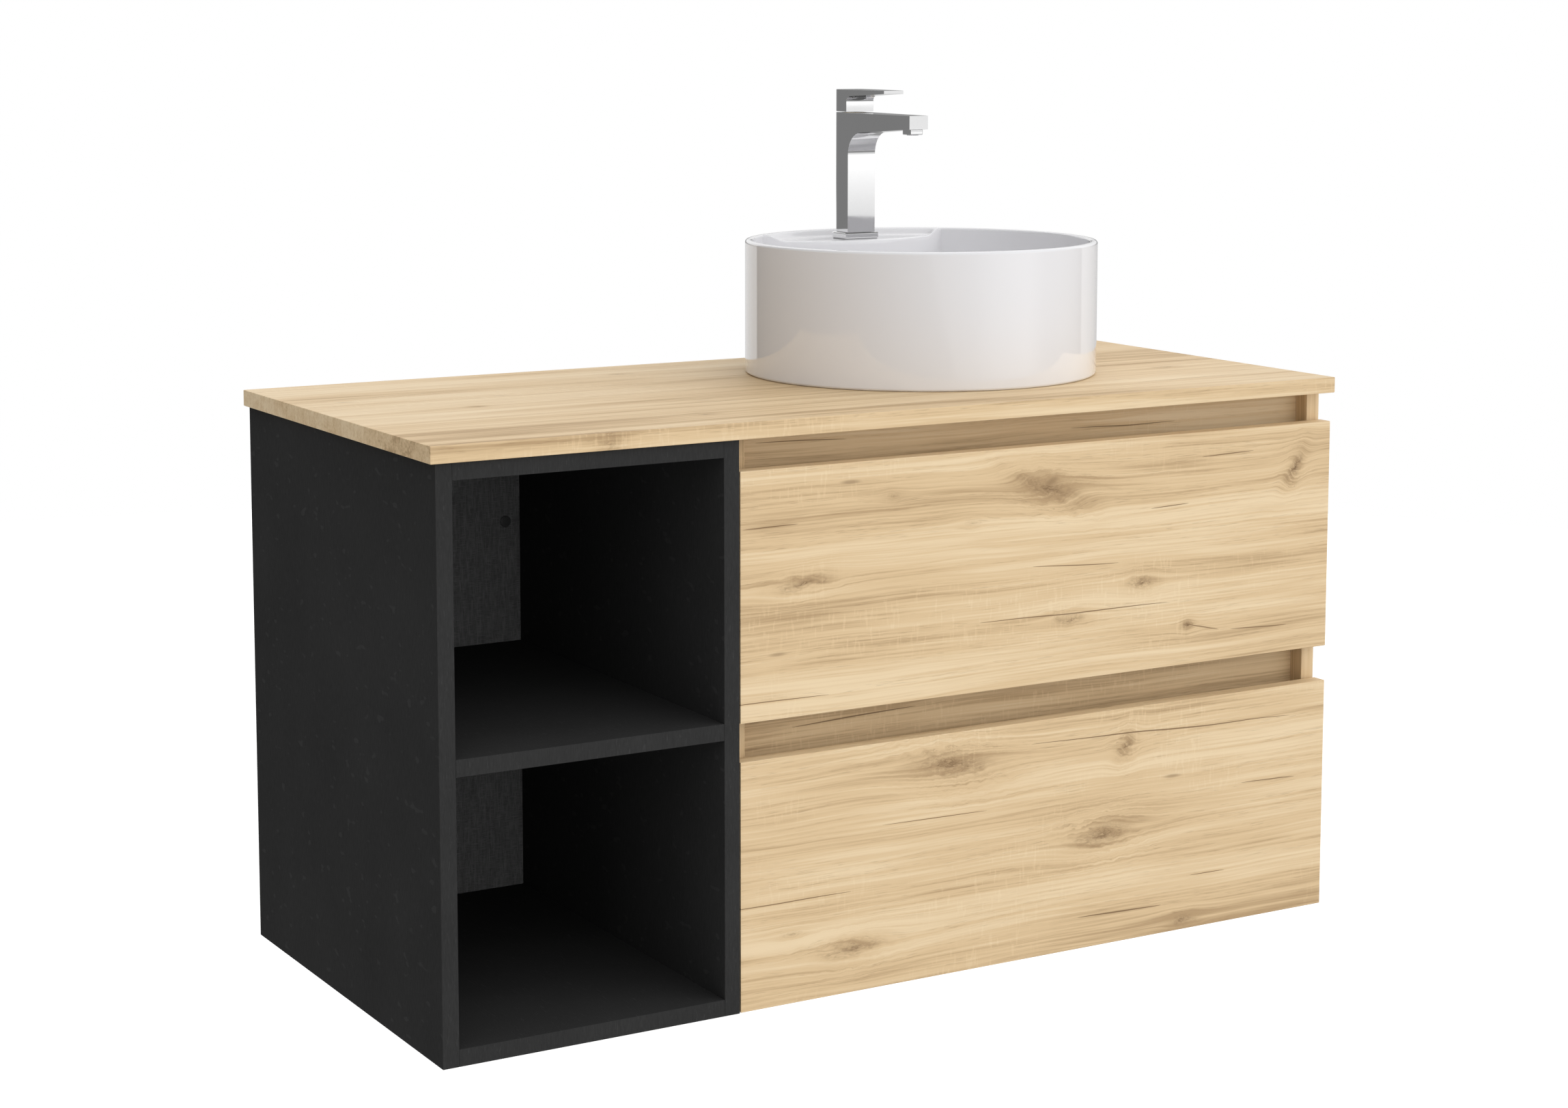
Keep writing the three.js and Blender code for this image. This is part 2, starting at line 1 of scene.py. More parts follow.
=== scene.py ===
"""Wall-hung oak vanity with a round vessel basin and a square single-lever mixer.

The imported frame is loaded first. Each sub-assembly is a class that builds its own meshes around the frame
and dresses them with its finishes. Metres, +Z up, +X to the right, -Y towards the room.
"""

import json
import logging
import math
from dataclasses import dataclass
from enum import Enum
from typing import Callable, Iterable, Sequence

import bmesh
import bpy
from mathutils import Euler, Matrix, Vector

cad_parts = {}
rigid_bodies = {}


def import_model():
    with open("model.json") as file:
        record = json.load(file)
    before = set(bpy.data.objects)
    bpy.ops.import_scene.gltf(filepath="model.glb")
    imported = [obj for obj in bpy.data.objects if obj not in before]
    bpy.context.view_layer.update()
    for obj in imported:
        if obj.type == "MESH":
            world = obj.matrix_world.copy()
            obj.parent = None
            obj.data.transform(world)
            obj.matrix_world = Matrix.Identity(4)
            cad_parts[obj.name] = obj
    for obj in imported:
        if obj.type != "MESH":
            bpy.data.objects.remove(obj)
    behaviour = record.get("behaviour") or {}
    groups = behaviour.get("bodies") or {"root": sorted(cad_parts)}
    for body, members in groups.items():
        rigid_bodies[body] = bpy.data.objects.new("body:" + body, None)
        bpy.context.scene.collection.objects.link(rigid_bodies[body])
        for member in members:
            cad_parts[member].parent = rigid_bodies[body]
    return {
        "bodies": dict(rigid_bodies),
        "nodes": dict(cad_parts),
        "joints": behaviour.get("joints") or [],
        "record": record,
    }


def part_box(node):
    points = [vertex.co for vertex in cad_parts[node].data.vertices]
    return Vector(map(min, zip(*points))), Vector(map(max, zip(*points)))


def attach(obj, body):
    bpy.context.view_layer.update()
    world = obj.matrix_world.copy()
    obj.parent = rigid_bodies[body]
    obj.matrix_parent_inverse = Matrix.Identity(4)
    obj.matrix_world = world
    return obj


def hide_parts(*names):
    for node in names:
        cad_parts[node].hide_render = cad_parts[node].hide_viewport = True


log = logging.getLogger("vanity")

MM = 0.001
Point2 = tuple[float, float]
Step = tuple[float, float, float, float]
Socket = bpy.types.NodeSocket


# ---------------------------------------------------------------- node helpers


class Tree:
    """Adds and links nodes in one node tree."""

    def __init__(self, tree: bpy.types.NodeTree) -> None:
        """Args:
            tree: the node tree that takes the nodes.
        """
        self.tree = tree

    def node(self, kind: str, **settings: object) -> bpy.types.Node:
        """Adds one node.

        Args:
            kind: the node's type name.
            settings: attributes to set on it.

        Returns:
            The new node.
        """
        made = self.tree.nodes.new(kind)
        for name, value in settings.items():
            setattr(made, name, value)
        return made

    def feed(self, socket: Socket, value: object) -> None:
        """Links a socket's value in, or sets it when it is a constant.

        Args:
            socket: the input to feed.
            value: another node's output, or a constant.
        """
        if isinstance(value, bpy.types.NodeSocket):
            self.tree.links.new(value, socket)
        else:
            socket.default_value = value

    def math(self, operation: str, *values: object, clamp: bool = False) -> Socket:
        """Adds a math node.

        Args:
            operation: the node's operation.
            values: its inputs in order.
            clamp: whether the result is held between 0 and 1.

        Returns:
            The result.
        """
        made = self.node("ShaderNodeMath", operation=operation, use_clamp=clamp)
        for socket, value in zip(made.inputs, values):
            self.feed(socket, value)
        return made.outputs[0]

    def total(self, *values: object) -> Socket:
        """Adds values together.

        Args:
            values: outputs or constants, two or more.

        Returns:
            Their sum.
        """
        result = values[0]
        for value in values[1:]:
            result = self.math("ADD", result, value)
        return result

    def peak(self, values: Sequence[object]) -> Socket:
        """The largest of several values.

        Args:
            values: outputs or constants.

        Returns:
            The largest one.
        """
        result = values[0]
        for value in values[1:]:
            result = self.math("MAXIMUM", result, value)
        return result

    def ramp(self, value: object, low: float, high: float, out_low: float = 0.0,
             out_high: float = 1.0) -> Socket:
        """A smooth step between two values.

        Args:
            value: what is stepped.
            low: where the step starts.
            high: where it ends.
            out_low: the result before it.
            out_high: the result after it.

        Returns:
            The stepped value.
        """
        made = self.node("ShaderNodeMapRange", interpolation_type="SMOOTHSTEP", clamp=True)
        for socket, given in zip(made.inputs, (value, low, high, out_low, out_high)):
            self.feed(socket, given)
        return made.outputs[0]

    def split(self, vector: Socket) -> tuple[Socket, Socket, Socket]:
        """The three parts of a vector."""
        made = self.node("ShaderNodeSeparateXYZ")
        self.feed(made.inputs[0], vector)
        return tuple(made.outputs)

    def vector(self, x: object, y: object, z: object) -> Socket:
        """A vector from its three parts."""
        made = self.node("ShaderNodeCombineXYZ")
        for socket, value in zip(made.inputs, (x, y, z)):
            self.feed(socket, value)
        return made.outputs[0]

    def scaled(self, vector: Socket, scale: Sequence[float], shift: Sequence[float] = (0, 0, 0)) -> Socket:
        """A vector times one scale per axis, plus a shift.

        Args:
            vector: what is scaled.
            scale: a factor per axis.
            shift: added after it.

        Returns:
            The new vector.
        """
        made = self.node("ShaderNodeVectorMath", operation="MULTIPLY_ADD")
        self.feed(made.inputs[0], vector)
        self.feed(made.inputs[1], scale)
        self.feed(made.inputs[2], shift)
        return made.outputs[0]

    def noise(self, vector: Socket, scale: float = 1.0, detail: float = 2.0, rough: float = 0.5) -> Socket:
        """Fractal noise from 0 to 1.

        Args:
            vector: where it is read.
            scale: its frequency.
            detail: its octaves.
            rough: the weight of the fine octaves.

        Returns:
            The noise.
        """
        made = self.node("ShaderNodeTexNoise")
        self.feed(made.inputs["Vector"], vector)
        self.feed(made.inputs["Scale"], scale)
        self.feed(made.inputs["Detail"], detail)
        self.feed(made.inputs["Roughness"], rough)
        return made.outputs[0]

    def cells(self, vector: Socket, scale: float = 1.0) -> bpy.types.Node:
        """A Voronoi node, for specks and spangle.

        Args:
            vector: where it is read.
            scale: its frequency.

        Returns:
            The node, with its distance and colour outputs.
        """
        made = self.node("ShaderNodeTexVoronoi")
        self.feed(made.inputs["Vector"], vector)
        self.feed(made.inputs["Scale"], scale)
        return made

    def blend(self, share: object, first: object, second: object, how: str = "MIX") -> Socket:
        """Mixes two colours.

        Args:
            share: how much of the second.
            first: the first colour.
            second: the second colour.
            how: the blend's name.

        Returns:
            The mixed colour.
        """
        made = self.node("ShaderNodeMix", data_type="RGBA", blend_type=how)
        self.feed(made.inputs["Factor"], share)
        self.feed(made.inputs["A"], first)
        self.feed(made.inputs["B"], second)
        return made.outputs["Result"]

    def bump(self, height: Socket, strength: float, distance: float) -> Socket:
        """A bump normal.

        Args:
            height: the height over the surface.
            strength: how much of it shows.
            distance: the depth that a height of 1 stands for.

        Returns:
            The normal.
        """
        made = self.node("ShaderNodeBump")
        self.feed(made.inputs["Height"], height)
        self.feed(made.inputs["Strength"], strength)
        self.feed(made.inputs["Distance"], distance)
        return made.outputs[0]

    def grey(self, value: Socket) -> Socket:
        """A colour with the same value in each channel."""
        return self.vector(value, value, value)

    def placed(self, group: bpy.types.NodeTree, **values: object) -> bpy.types.Node:
        """Places a node group with its own values.

        Args:
            group: the group.
            values: its inputs by name, with underscores for spaces.

        Returns:
            The group node.
        """
        made = self.node("ShaderNodeGroup", node_tree=group)
        for name, value in values.items():
            self.feed(made.inputs[name.replace("_", " ")], value)
        return made


class Effect:
    """A shader node group that is built once, the first time it is asked for."""

    made: dict[str, bpy.types.NodeTree] = {}

    @classmethod
    def group(cls, name: str, inputs: Sequence[tuple[str, str, object]], outputs: Sequence[tuple[str, str]],
              fill: Callable[[Tree, dict[str, Socket]], dict[str, Socket]]) -> bpy.types.NodeTree:
        """Builds a group, or returns it if it exists.

        Args:
            name: the group's name.
            inputs: name, socket type and default of each input.
            outputs: name and socket type of each output.
            fill: makes the nodes from the inputs and returns the outputs by name.

        Returns:
            The group's tree.
        """
        if name in cls.made:
            return cls.made[name]
        tree = bpy.data.node_groups.new(name, "ShaderNodeTree")
        for title, kind, default in inputs:
            socket = tree.interface.new_socket(title, in_out="INPUT", socket_type="NodeSocket" + kind)
            if default is not None:
                socket.default_value = default
        for title, kind in outputs:
            tree.interface.new_socket(title, in_out="OUTPUT", socket_type="NodeSocket" + kind)
        work = Tree(tree)
        entry = work.node("NodeGroupInput")
        leave = work.node("NodeGroupOutput")
        results = fill(work, {title: entry.outputs[title] for title, _, _ in inputs})
        for title, socket in results.items():
            tree.links.new(socket, leave.inputs[title])
        cls.made[name] = tree
        return tree


# ---------------------------------------------------------------- shared effects


def knot_effect() -> bpy.types.NodeTree:
    """A knot: the grain parts around it, ragged rings and hairs run inside it and it is darker.

    Returns:
        The node group.
    """
    def fill(t: Tree, i: dict[str, Socket]) -> dict[str, Socket]:
        """Makes the knot's nodes."""
        g = i["Grain"]
        u, v, _ = t.split(g)
        run = t.math("SUBTRACT", u, i["Along"])
        across = t.math("SUBTRACT", t.math("SUBTRACT", v, i["Across"]), t.math("MULTIPLY", run, i["Tilt"]))
        ragged = t.math("SUBTRACT", t.noise(t.scaled(g, (60.0, 130.0, 130.0)), detail=2.0), 0.5)
        fine = t.math("SUBTRACT", t.noise(t.scaled(g, (150.0, 520.0, 520.0), (3.0, 1.0, 7.0)), detail=2.0),
                      0.5)
        du = t.math("ADD", t.math("DIVIDE", run, i["Half Length"]), t.math("MULTIPLY", ragged, 1.3))
        dv = t.total(t.math("DIVIDE", across, i["Half Width"]), t.math("MULTIPLY", ragged, -1.6),
                     t.math("MULTIPLY", fine, 0.7))
        r2 = t.math("ADD", t.math("MULTIPLY", du, du), t.math("MULTIPLY", dv, dv))
        pull = t.math("EXPONENT", t.math("MULTIPLY", r2, -0.22))
        core = t.math("EXPONENT", t.math("MULTIPLY", r2, -1.1))
        shift = t.math("MULTIPLY", t.math("MULTIPLY", across, pull), -0.8)
        turns = t.math("ADD", t.math("MULTIPLY", t.math("SQRT", r2), 8.0), t.math("MULTIPLY", fine, 11.0))
        rings = t.ramp(t.math("SINE", turns), 0.1, 1.0)
        hairs = t.math("SINE", t.total(t.math("MULTIPLY", du, 16.0), t.math("MULTIPLY", dv, 6.0),
                                       t.math("MULTIPLY", fine, 16.0)))
        marks = t.math("MAXIMUM", rings, t.math("MULTIPLY", t.ramp(hairs, 0.1, 1.0), i["Feather"]))
        slit = t.math("MULTIPLY", t.math("EXPONENT", t.math("MULTIPLY", t.math("MULTIPLY", dv, dv), -9.0)),
                      t.math("EXPONENT", t.math("MULTIPLY", t.math("MULTIPLY", du, du), -1.6)))
        slit = t.math("MULTIPLY", slit, t.ramp(fine, -0.12, 0.12))
        dark = t.math("ADD", t.math("MULTIPLY", core, t.math("ADD", t.math("MULTIPLY", marks, 0.5), 0.2)),
                      t.math("MULTIPLY", slit, 0.55), clamp=True)
        return {"Shift": shift, "Dark": t.math("MULTIPLY", dark, i["Depth"]),
                "Shade": t.math("MULTIPLY", t.math("EXPONENT", t.math("MULTIPLY", r2, -0.35)), i["Depth"])}
    return Effect.group("wood knot", [
        ("Grain", "Vector", None), ("Along", "Float", 0.0), ("Across", "Float", 0.0),
        ("Tilt", "Float", 0.0),
        ("Half Length", "Float", 0.03), ("Half Width", "Float", 0.01), ("Depth", "Float", 1.0),
        ("Feather", "Float", 0.0)],
        [("Shift", "Float"), ("Dark", "Float"), ("Shade", "Float")], fill)


def crack_effect() -> bpy.types.NodeTree:
    """A hairline crack that runs along the grain and fades at both ends.

    Returns:
        The node group.
    """
    def fill(t: Tree, i: dict[str, Socket]) -> dict[str, Socket]:
        """Makes the crack's nodes."""
        u, v, _ = t.split(i["Grain"])
        run = t.math("SUBTRACT", u, i["Along"])
        share = t.math("DIVIDE", run, i["Length"])
        line = t.total(i["Across"], t.math("MULTIPLY", run, i["Slope"]),
                       t.math("MULTIPLY", i["Wander"], 0.011))
        gap = t.math("ABSOLUTE", t.math("SUBTRACT", v, line))
        belly = t.math("MULTIPLY", t.math("MULTIPLY", share, t.math("SUBTRACT", 1.0, share)), 4.0,
                       clamp=True)
        width = t.math("MULTIPLY", i["Width"], t.math("SQRT", belly))
        closeness = t.math("SUBTRACT", 1.0, t.math("DIVIDE", gap, t.math("ADD", width, 0.00001)),
                           clamp=True)
        halo = t.math("MULTIPLY", t.ramp(gap, 0.0, 0.004, 1.0, 0.0), belly)
        return {"Dark": t.ramp(closeness, 0.0, 0.7), "Shade": halo}
    return Effect.group("wood crack", [
        ("Grain", "Vector", None), ("Wander", "Float", 0.0), ("Along", "Float", 0.0),
        ("Across", "Float", 0.0),
        ("Length", "Float", 0.1), ("Slope", "Float", 0.0), ("Width", "Float", 0.0006)],
        [("Dark", "Float"), ("Shade", "Float")], fill)


def grain_effect() -> bpy.types.NodeTree:
    """Long oak grain: broad bands, streaks, pores, flecks and specks along the first axis.

    Returns:
        The node group.
    """
    def fill(t: Tree, i: dict[str, Socket]) -> dict[str, Socket]:
        """Makes the grain's nodes."""
        g = i["Grain"]
        band = t.noise(t.scaled(g, (0.9, 13.0, 13.0)), detail=2.0)
        patch = t.noise(t.scaled(g, (2.6, 24.0, 24.0), (6.0, 2.0, 9.0)), detail=3.0, rough=0.6)
        streak = t.noise(t.scaled(g, (1.7, 95.0, 95.0), (3.1, 7.7, 1.9)), detail=3.0, rough=0.62)
        line = t.noise(t.scaled(g, (5.5, 420.0, 420.0), (8.3, 1.7, 4.9)), detail=2.0, rough=0.6)
        pore = t.noise(t.scaled(g, (48.0, 1500.0, 1500.0), (5.0, 9.0, 2.0)), detail=1.0)
        _, v, _ = t.split(g)
        year = t.math("SINE", t.math("ADD", t.math("MULTIPLY", v, 820.0), t.math("MULTIPLY", band, 16.0)))
        year = t.ramp(year, 0.2, 1.0)
        fleck = t.noise(t.scaled(g, (330.0, 60.0, 60.0), (2.0, 6.0, 8.0)), detail=1.0)
        fleck_zone = t.noise(t.scaled(g, (5.0, 11.0, 11.0), (9.0, 3.0, 5.0)), detail=1.0)
        fleck = t.math("MULTIPLY", t.ramp(fleck, 0.56, 0.7), t.ramp(fleck_zone, 0.52, 0.66))
        spot = t.cells(t.scaled(g, (13.0, 70.0, 70.0)), 1.0)
        chosen = t.ramp(t.split(spot.outputs["Color"])[0], 0.955, 0.965)
        spot_mark = t.math("MULTIPLY", t.ramp(spot.outputs["Distance"], 0.05, 0.2, 1.0, 0.0), chosen)
        tone = t.total(t.math("MULTIPLY", band, 1.3), t.math("MULTIPLY", patch, 1.2),
                       t.math("MULTIPLY", streak, 1.05), t.math("MULTIPLY", line, 0.95), -1.72)
        tone = t.math("SUBTRACT", tone, t.math("MULTIPLY", year, t.ramp(band, 0.4, 0.62, 0.02, 0.1)))
        tone = t.math("ADD", tone, t.math("MULTIPLY", fleck, 0.12), clamp=True)
        pores = t.math("MULTIPLY", t.ramp(pore, 0.6, 0.72), t.ramp(streak, 0.62, 0.42))
        return {"Tone": tone, "Pores": pores, "Specks": spot_mark,
                "Height": t.math("SUBTRACT", line, t.math("MULTIPLY", pores, 1.3))}
    return Effect.group("oak grain", [("Grain", "Vector", None)],
                        [("Tone", "Float"), ("Pores", "Float"), ("Specks", "Float"), ("Height", "Float")],
                        fill)


def weave_effect() -> bpy.types.NodeTree:
    """Fine linen: uneven threads both ways.

    Returns:
        The node group.
    """
    def fill(t: Tree, i: dict[str, Socket]) -> dict[str, Socket]:
        """Makes the weave's nodes."""
        g = i["Place"]
        warp = t.noise(t.scaled(g, (1300.0, 1300.0, 110.0)), detail=1.0)
        weft = t.noise(t.scaled(g, (110.0, 110.0, 1300.0), (4.0, 2.0, 7.0)), detail=1.0)
        slub = t.noise(t.scaled(g, (380.0, 380.0, 45.0), (1.0, 8.0, 3.0)), detail=1.0)
        cloth = t.math("MAXIMUM", warp, weft)
        return {"Height": cloth, "Tone": t.ramp(t.math("ADD", cloth, t.math("MULTIPLY", slub, 0.35)), 0.5,
                                                1.0)}
    return Effect.group("linen weave", [("Place", "Vector", None)],
                        [("Height", "Float"), ("Tone", "Float")], fill)


def wear_effect() -> bpy.types.NodeTree:
    """Handling marks: broad smudges and fine scattered scratches.

    Returns:
        The node group.
    """
    def fill(t: Tree, i: dict[str, Socket]) -> dict[str, Socket]:
        """Makes the wear's nodes."""
        g = i["Place"]
        smudge = t.noise(g, 22.0, 3.0, 0.6)
        scratch = t.noise(t.scaled(g, (900.0, 60.0, 120.0)), detail=1.0)
        fine = t.noise(g, 1800.0, 1.0)
        return {"Smudge": t.ramp(smudge, 0.4, 0.75), "Scratch": t.ramp(scratch, 0.66, 0.74), "Fine": fine}
    return Effect.group("handling wear", [("Place", "Vector", None)],
                        [("Smudge", "Float"), ("Scratch", "Float"), ("Fine", "Float")], fill)


# ---------------------------------------------------------------- finishes


class Grain(Enum):
    """The way the grain runs. The value lists the object axes that become along, across and depth."""

    ALONG_X = (0, 2, 1)
    ALONG_X_FLAT = (0, 1, 2)
    ALONG_Y = (1, 2, 0)
    ALONG_Z = (2, 1, 0)


@dataclass(frozen=True)
class Knot:
    """A knot at a place along and across the grain, in millimetres."""

    along: float
    across: float
    half_length: float
    half_width: float
    depth: float = 0.8
    feather: float = 0.0
    tilt: float = 0.0


@dataclass(frozen=True)
class Crack:
    """A crack from one place to another along the grain, in millimetres."""

    along: float
    across: float
    to_along: float
    to_across: float
    width: float = 0.7


class Finish:
    """What every finish shares: one material, made once, with a Principled shader."""

    made: dict[str, bpy.types.Material] = {}

    def material(self) -> bpy.types.Material:
        """Makes the finish's material, or returns it if it exists."""
        if self.title in Finish.made:
            return Finish.made[self.title]
        made = bpy.data.materials.new(self.title)
        made.use_nodes = True
        shader = made.node_tree.nodes["Principled BSDF"]
        tree = Tree(made.node_tree)
        place = tree.node("ShaderNodeTexCoord").outputs["Object"]
        self.dress(tree, shader.inputs, place)
        Finish.made[self.title] = made
        return made

    def dress(self, t: Tree, shader: bpy.types.NodeInputs, place: Socket) -> None:
        """Feeds the shader. Each finish has its own way."""
        raise NotImplementedError


@dataclass(frozen=True)
class Oak(Finish):
    """Knotty golden oak with a satin face."""

    title: str
    slot: str
    grain: Grain
    seed: float = 0.0
    knots: tuple[Knot, ...] = ()
    cracks: tuple[Crack, ...] = ()
    light: tuple[float, float, float] = (0.80, 0.63, 0.405)
    middle: tuple[float, float, float] = (0.70, 0.515, 0.30)
    dark: tuple[float, float, float] = (0.47, 0.32, 0.17)
    heart: tuple[float, float, float] = (0.17, 0.095, 0.04)

    def dress(self, t: Tree, shader: bpy.types.NodeInputs, place: Socket) -> None:
        """Feeds the shader with grain, knots and cracks.

        Args:
            t: the material's tree.
            shader: the shader's inputs.
            place: object coordinates.
        """
        parts = t.split(place)
        u, v, w = (parts[axis] for axis in self.grain.value)
        plain = t.vector(u, v, w)
        wander = t.math("SUBTRACT", t.noise(t.scaled(plain, (4.0, 14.0, 14.0)), detail=2.0), 0.5)
        shifts, darks, shades = [], [0.0], [0.0]
        for knot in self.knots:
            made = t.placed(knot_effect(), Grain=plain, Along=knot.along * MM, Across=knot.across * MM,
                            Tilt=knot.tilt, Half_Length=knot.half_length * MM,
                            Half_Width=knot.half_width * MM, Depth=knot.depth, Feather=knot.feather)
            shifts.append(made.outputs["Shift"])
            darks.append(made.outputs["Dark"])
            shades.append(made.outputs["Shade"])
        for crack in self.cracks:
            length = crack.to_along - crack.along
            made = t.placed(crack_effect(), Grain=plain, Wander=wander, Along=crack.along * MM,
                            Across=crack.across * MM, Length=length * MM,
                            Slope=(crack.to_across - crack.across) / length, Width=crack.width * MM)
            darks.append(made.outputs["Dark"])
            shades.append(t.math("MULTIPLY", made.outputs["Shade"], 0.45))
        moved = t.total(v, t.math("MULTIPLY", wander, 0.011), self.seed * 0.37, *shifts)
        grained = t.placed(grain_effect(), Grain=t.vector(t.math("ADD", u, self.seed), moved, w))
        tone = t.math("SUBTRACT", grained.outputs["Tone"], t.math("MULTIPLY", t.peak(shades), 0.35),
                      clamp=True)
        colour = t.blend(t.ramp(tone, 0.0, 0.5), (*self.dark, 1.0), (*self.middle, 1.0))
        colour = t.blend(t.ramp(tone, 0.42, 0.95), colour, (*self.light, 1.0))
        mark = t.peak([t.math("MULTIPLY", grained.outputs["Pores"], 0.3),
                       t.math("MULTIPLY", grained.outputs["Specks"], 0.55), *darks])
        colour = t.blend(t.math("MULTIPLY", mark, 0.85), colour, (*self.heart, 1.0))
        t.feed(shader["Base Color"], colour)
        t.feed(shader["Roughness"], t.ramp(tone, 0.0, 1.0, 0.62, 0.48))
        height = t.math("SUBTRACT", grained.outputs["Height"], t.peak(darks))
        t.feed(shader["Normal"], t.bump(height, 0.25, 0.00025))
        shader["Specular IOR Level"].default_value = 0.35


@dataclass(frozen=True)
class FacedBoard(Finish):
    """Matt black faced board with a faint pore."""

    title: str = "matt black board"
    slot: str = "black_board"
    colour: float = 0.034

    def dress(self, t: Tree, shader: bpy.types.NodeInputs, place: Socket) -> None:
        """Feeds the shader with a faint pore and slow tone drift."""
        pore = t.noise(t.scaled(place, (900.0, 900.0, 140.0)), detail=1.0)
        drift = t.noise(place, 9.0, 2.0)
        wear = t.placed(wear_effect(), Place=place)
        tone = t.total(t.math("MULTIPLY", pore, 0.35 * self.colour),
                       t.math("MULTIPLY", drift, 0.3 * self.colour),
                       t.math("MULTIPLY", wear.outputs["Scratch"], 0.25 * self.colour), 0.67 * self.colour)
        t.feed(shader["Base Color"], t.grey(tone))
        t.feed(shader["Roughness"], t.ramp(t.math("ADD", drift, wear.outputs["Smudge"]), 0.2, 1.6, 0.52,
                                           0.48))
        t.feed(shader["Normal"], t.bump(pore, 0.18, 0.0002))
        shader["Specular IOR Level"].default_value = 0.0


@dataclass(frozen=True)
class Linen(Finish):
    """Anthracite board printed and embossed with fine linen."""

    title: str = "anthracite linen"
    slot: str = "linen_board"
    colour: float = 0.16

    def dress(self, t: Tree, shader: bpy.types.NodeInputs, place: Socket) -> None:
        """Feeds the shader with the weave."""
        weave = t.placed(weave_effect(), Place=place)
        drift = t.noise(place, 7.0, 2.0)
        tone = t.total(t.math("MULTIPLY", weave.outputs["Tone"], 0.7 * self.colour),
                       t.math("MULTIPLY", drift, 0.3 * self.colour), 0.6 * self.colour)
        t.feed(shader["Base Color"], t.grey(tone))
        t.feed(shader["Roughness"], t.ramp(weave.outputs["Tone"], 0.0, 1.0, 0.62, 0.5))
        t.feed(shader["Normal"], t.bump(weave.outputs["Height"], 0.4, 0.0003))
        shader["Specular IOR Level"].default_value = 0.1


@dataclass(frozen=True)
class Glaze(Finish):
    """White gloss glaze over fired clay."""

    title: str = "white glaze"
    slot: str = "white_glaze"

    def dress(self, t: Tree, shader: bpy.types.NodeInputs, place: Socket) -> None:
        """Feeds the shader with slow tone drift and a very slight pull in the glaze."""
        drift = t.noise(place, 6.0, 2.0)
        speck = t.cells(place, 420.0)
        dot = t.math("MULTIPLY", t.ramp(speck.outputs["Distance"], 0.03, 0.09, 1.0, 0.0),
                     t.ramp(t.split(speck.outputs["Color"])[0], 0.992, 0.995))
        colour = t.blend(drift, (0.785, 0.78, 0.80, 1.0), (0.80, 0.796, 0.814, 1.0))
        colour = t.blend(t.math("MULTIPLY", dot, 0.25), colour, (0.55, 0.53, 0.5, 1.0))
        t.feed(shader["Base Color"], colour)
        pull = t.noise(place, 38.0, 1.0)
        t.feed(shader["Roughness"], t.ramp(t.noise(place, 160.0, 2.0), 0.3, 0.8, 0.02, 0.05))
        t.feed(shader["Normal"], t.bump(pull, 0.05, 0.0003))
        shader["IOR"].default_value = 1.52
        shader["Coat Weight"].default_value = 0.9
        shader["Coat Roughness"].default_value = 0.02


class MetalKind(Enum):
    """Metal finishes: title, slot, colour, roughness low and high, and scratch depth."""

    CHROME = ("polished chrome", "chrome", (0.87, 0.87, 0.872), 0.03, 0.07, 0.01)
    BRASS = ("machined brass", "brass", (0.78, 0.6, 0.3), 0.2, 0.38, 0.2)
    ZINC = ("zinc plate", "zinc_steel", (0.66, 0.68, 0.7), 0.25, 0.48, 0.2)
    RUNNER = ("galvanised steel", "runner_steel", (0.6, 0.61, 0.62), 0.26, 0.45, 0.15)


@dataclass(frozen=True)
class Metal(Finish):
    """A metal with smudges, spangle and fine scratches."""

    kind: MetalKind

    @property
    def title(self) -> str:
        """The material's name."""
        return self.kind.value[0]

    @property
    def slot(self) -> str:
        """The record slot that it belongs to."""
        return self.kind.value[1]

    def dress(self, t: Tree, shader: bpy.types.NodeInputs, place: Socket) -> None:
        """Feeds the shader with wear and spangle."""
        _, _, colour, low, high, depth = self.kind.value
        wear = t.placed(wear_effect(), Place=place)
        spangle = t.split(t.cells(place, 380.0).outputs["Color"])[0]
        spread = 0.01 if self.kind is MetalKind.CHROME else 0.12
        pale = tuple(min(1.0, part * (1 + spread)) for part in colour)
        deep = tuple(part * (1 - spread) for part in colour)
        t.feed(shader["Base Color"], t.blend(t.math("MULTIPLY",
                                                    t.math("ADD", spangle, wear.outputs["Smudge"]), 0.5),
                                             (*pale, 1.0), (*deep, 1.0)))
        rough = t.total(t.math("MULTIPLY", wear.outputs["Smudge"], high - low),
                        t.math("MULTIPLY", wear.outputs["Scratch"], 0.4 * (high - low)), low)
        t.feed(shader["Roughness"], rough)
        t.feed(shader["Normal"], t.bump(wear.outputs["Fine"], depth, 0.00012))
        shader["Metallic"].default_value = 1.0


class PlasticKind(Enum):
    """Plastics: title, slot, colour and roughness."""

    WHITE = ("white plastic", "white_plastic", (0.82, 0.82, 0.8), 0.28)
    GREY = ("grey plastic", "grey_plastic", (0.33, 0.34, 0.36), 0.4)
    BLACK = ("black plastic", "black_plastic", (0.075, 0.075, 0.076), 0.4)


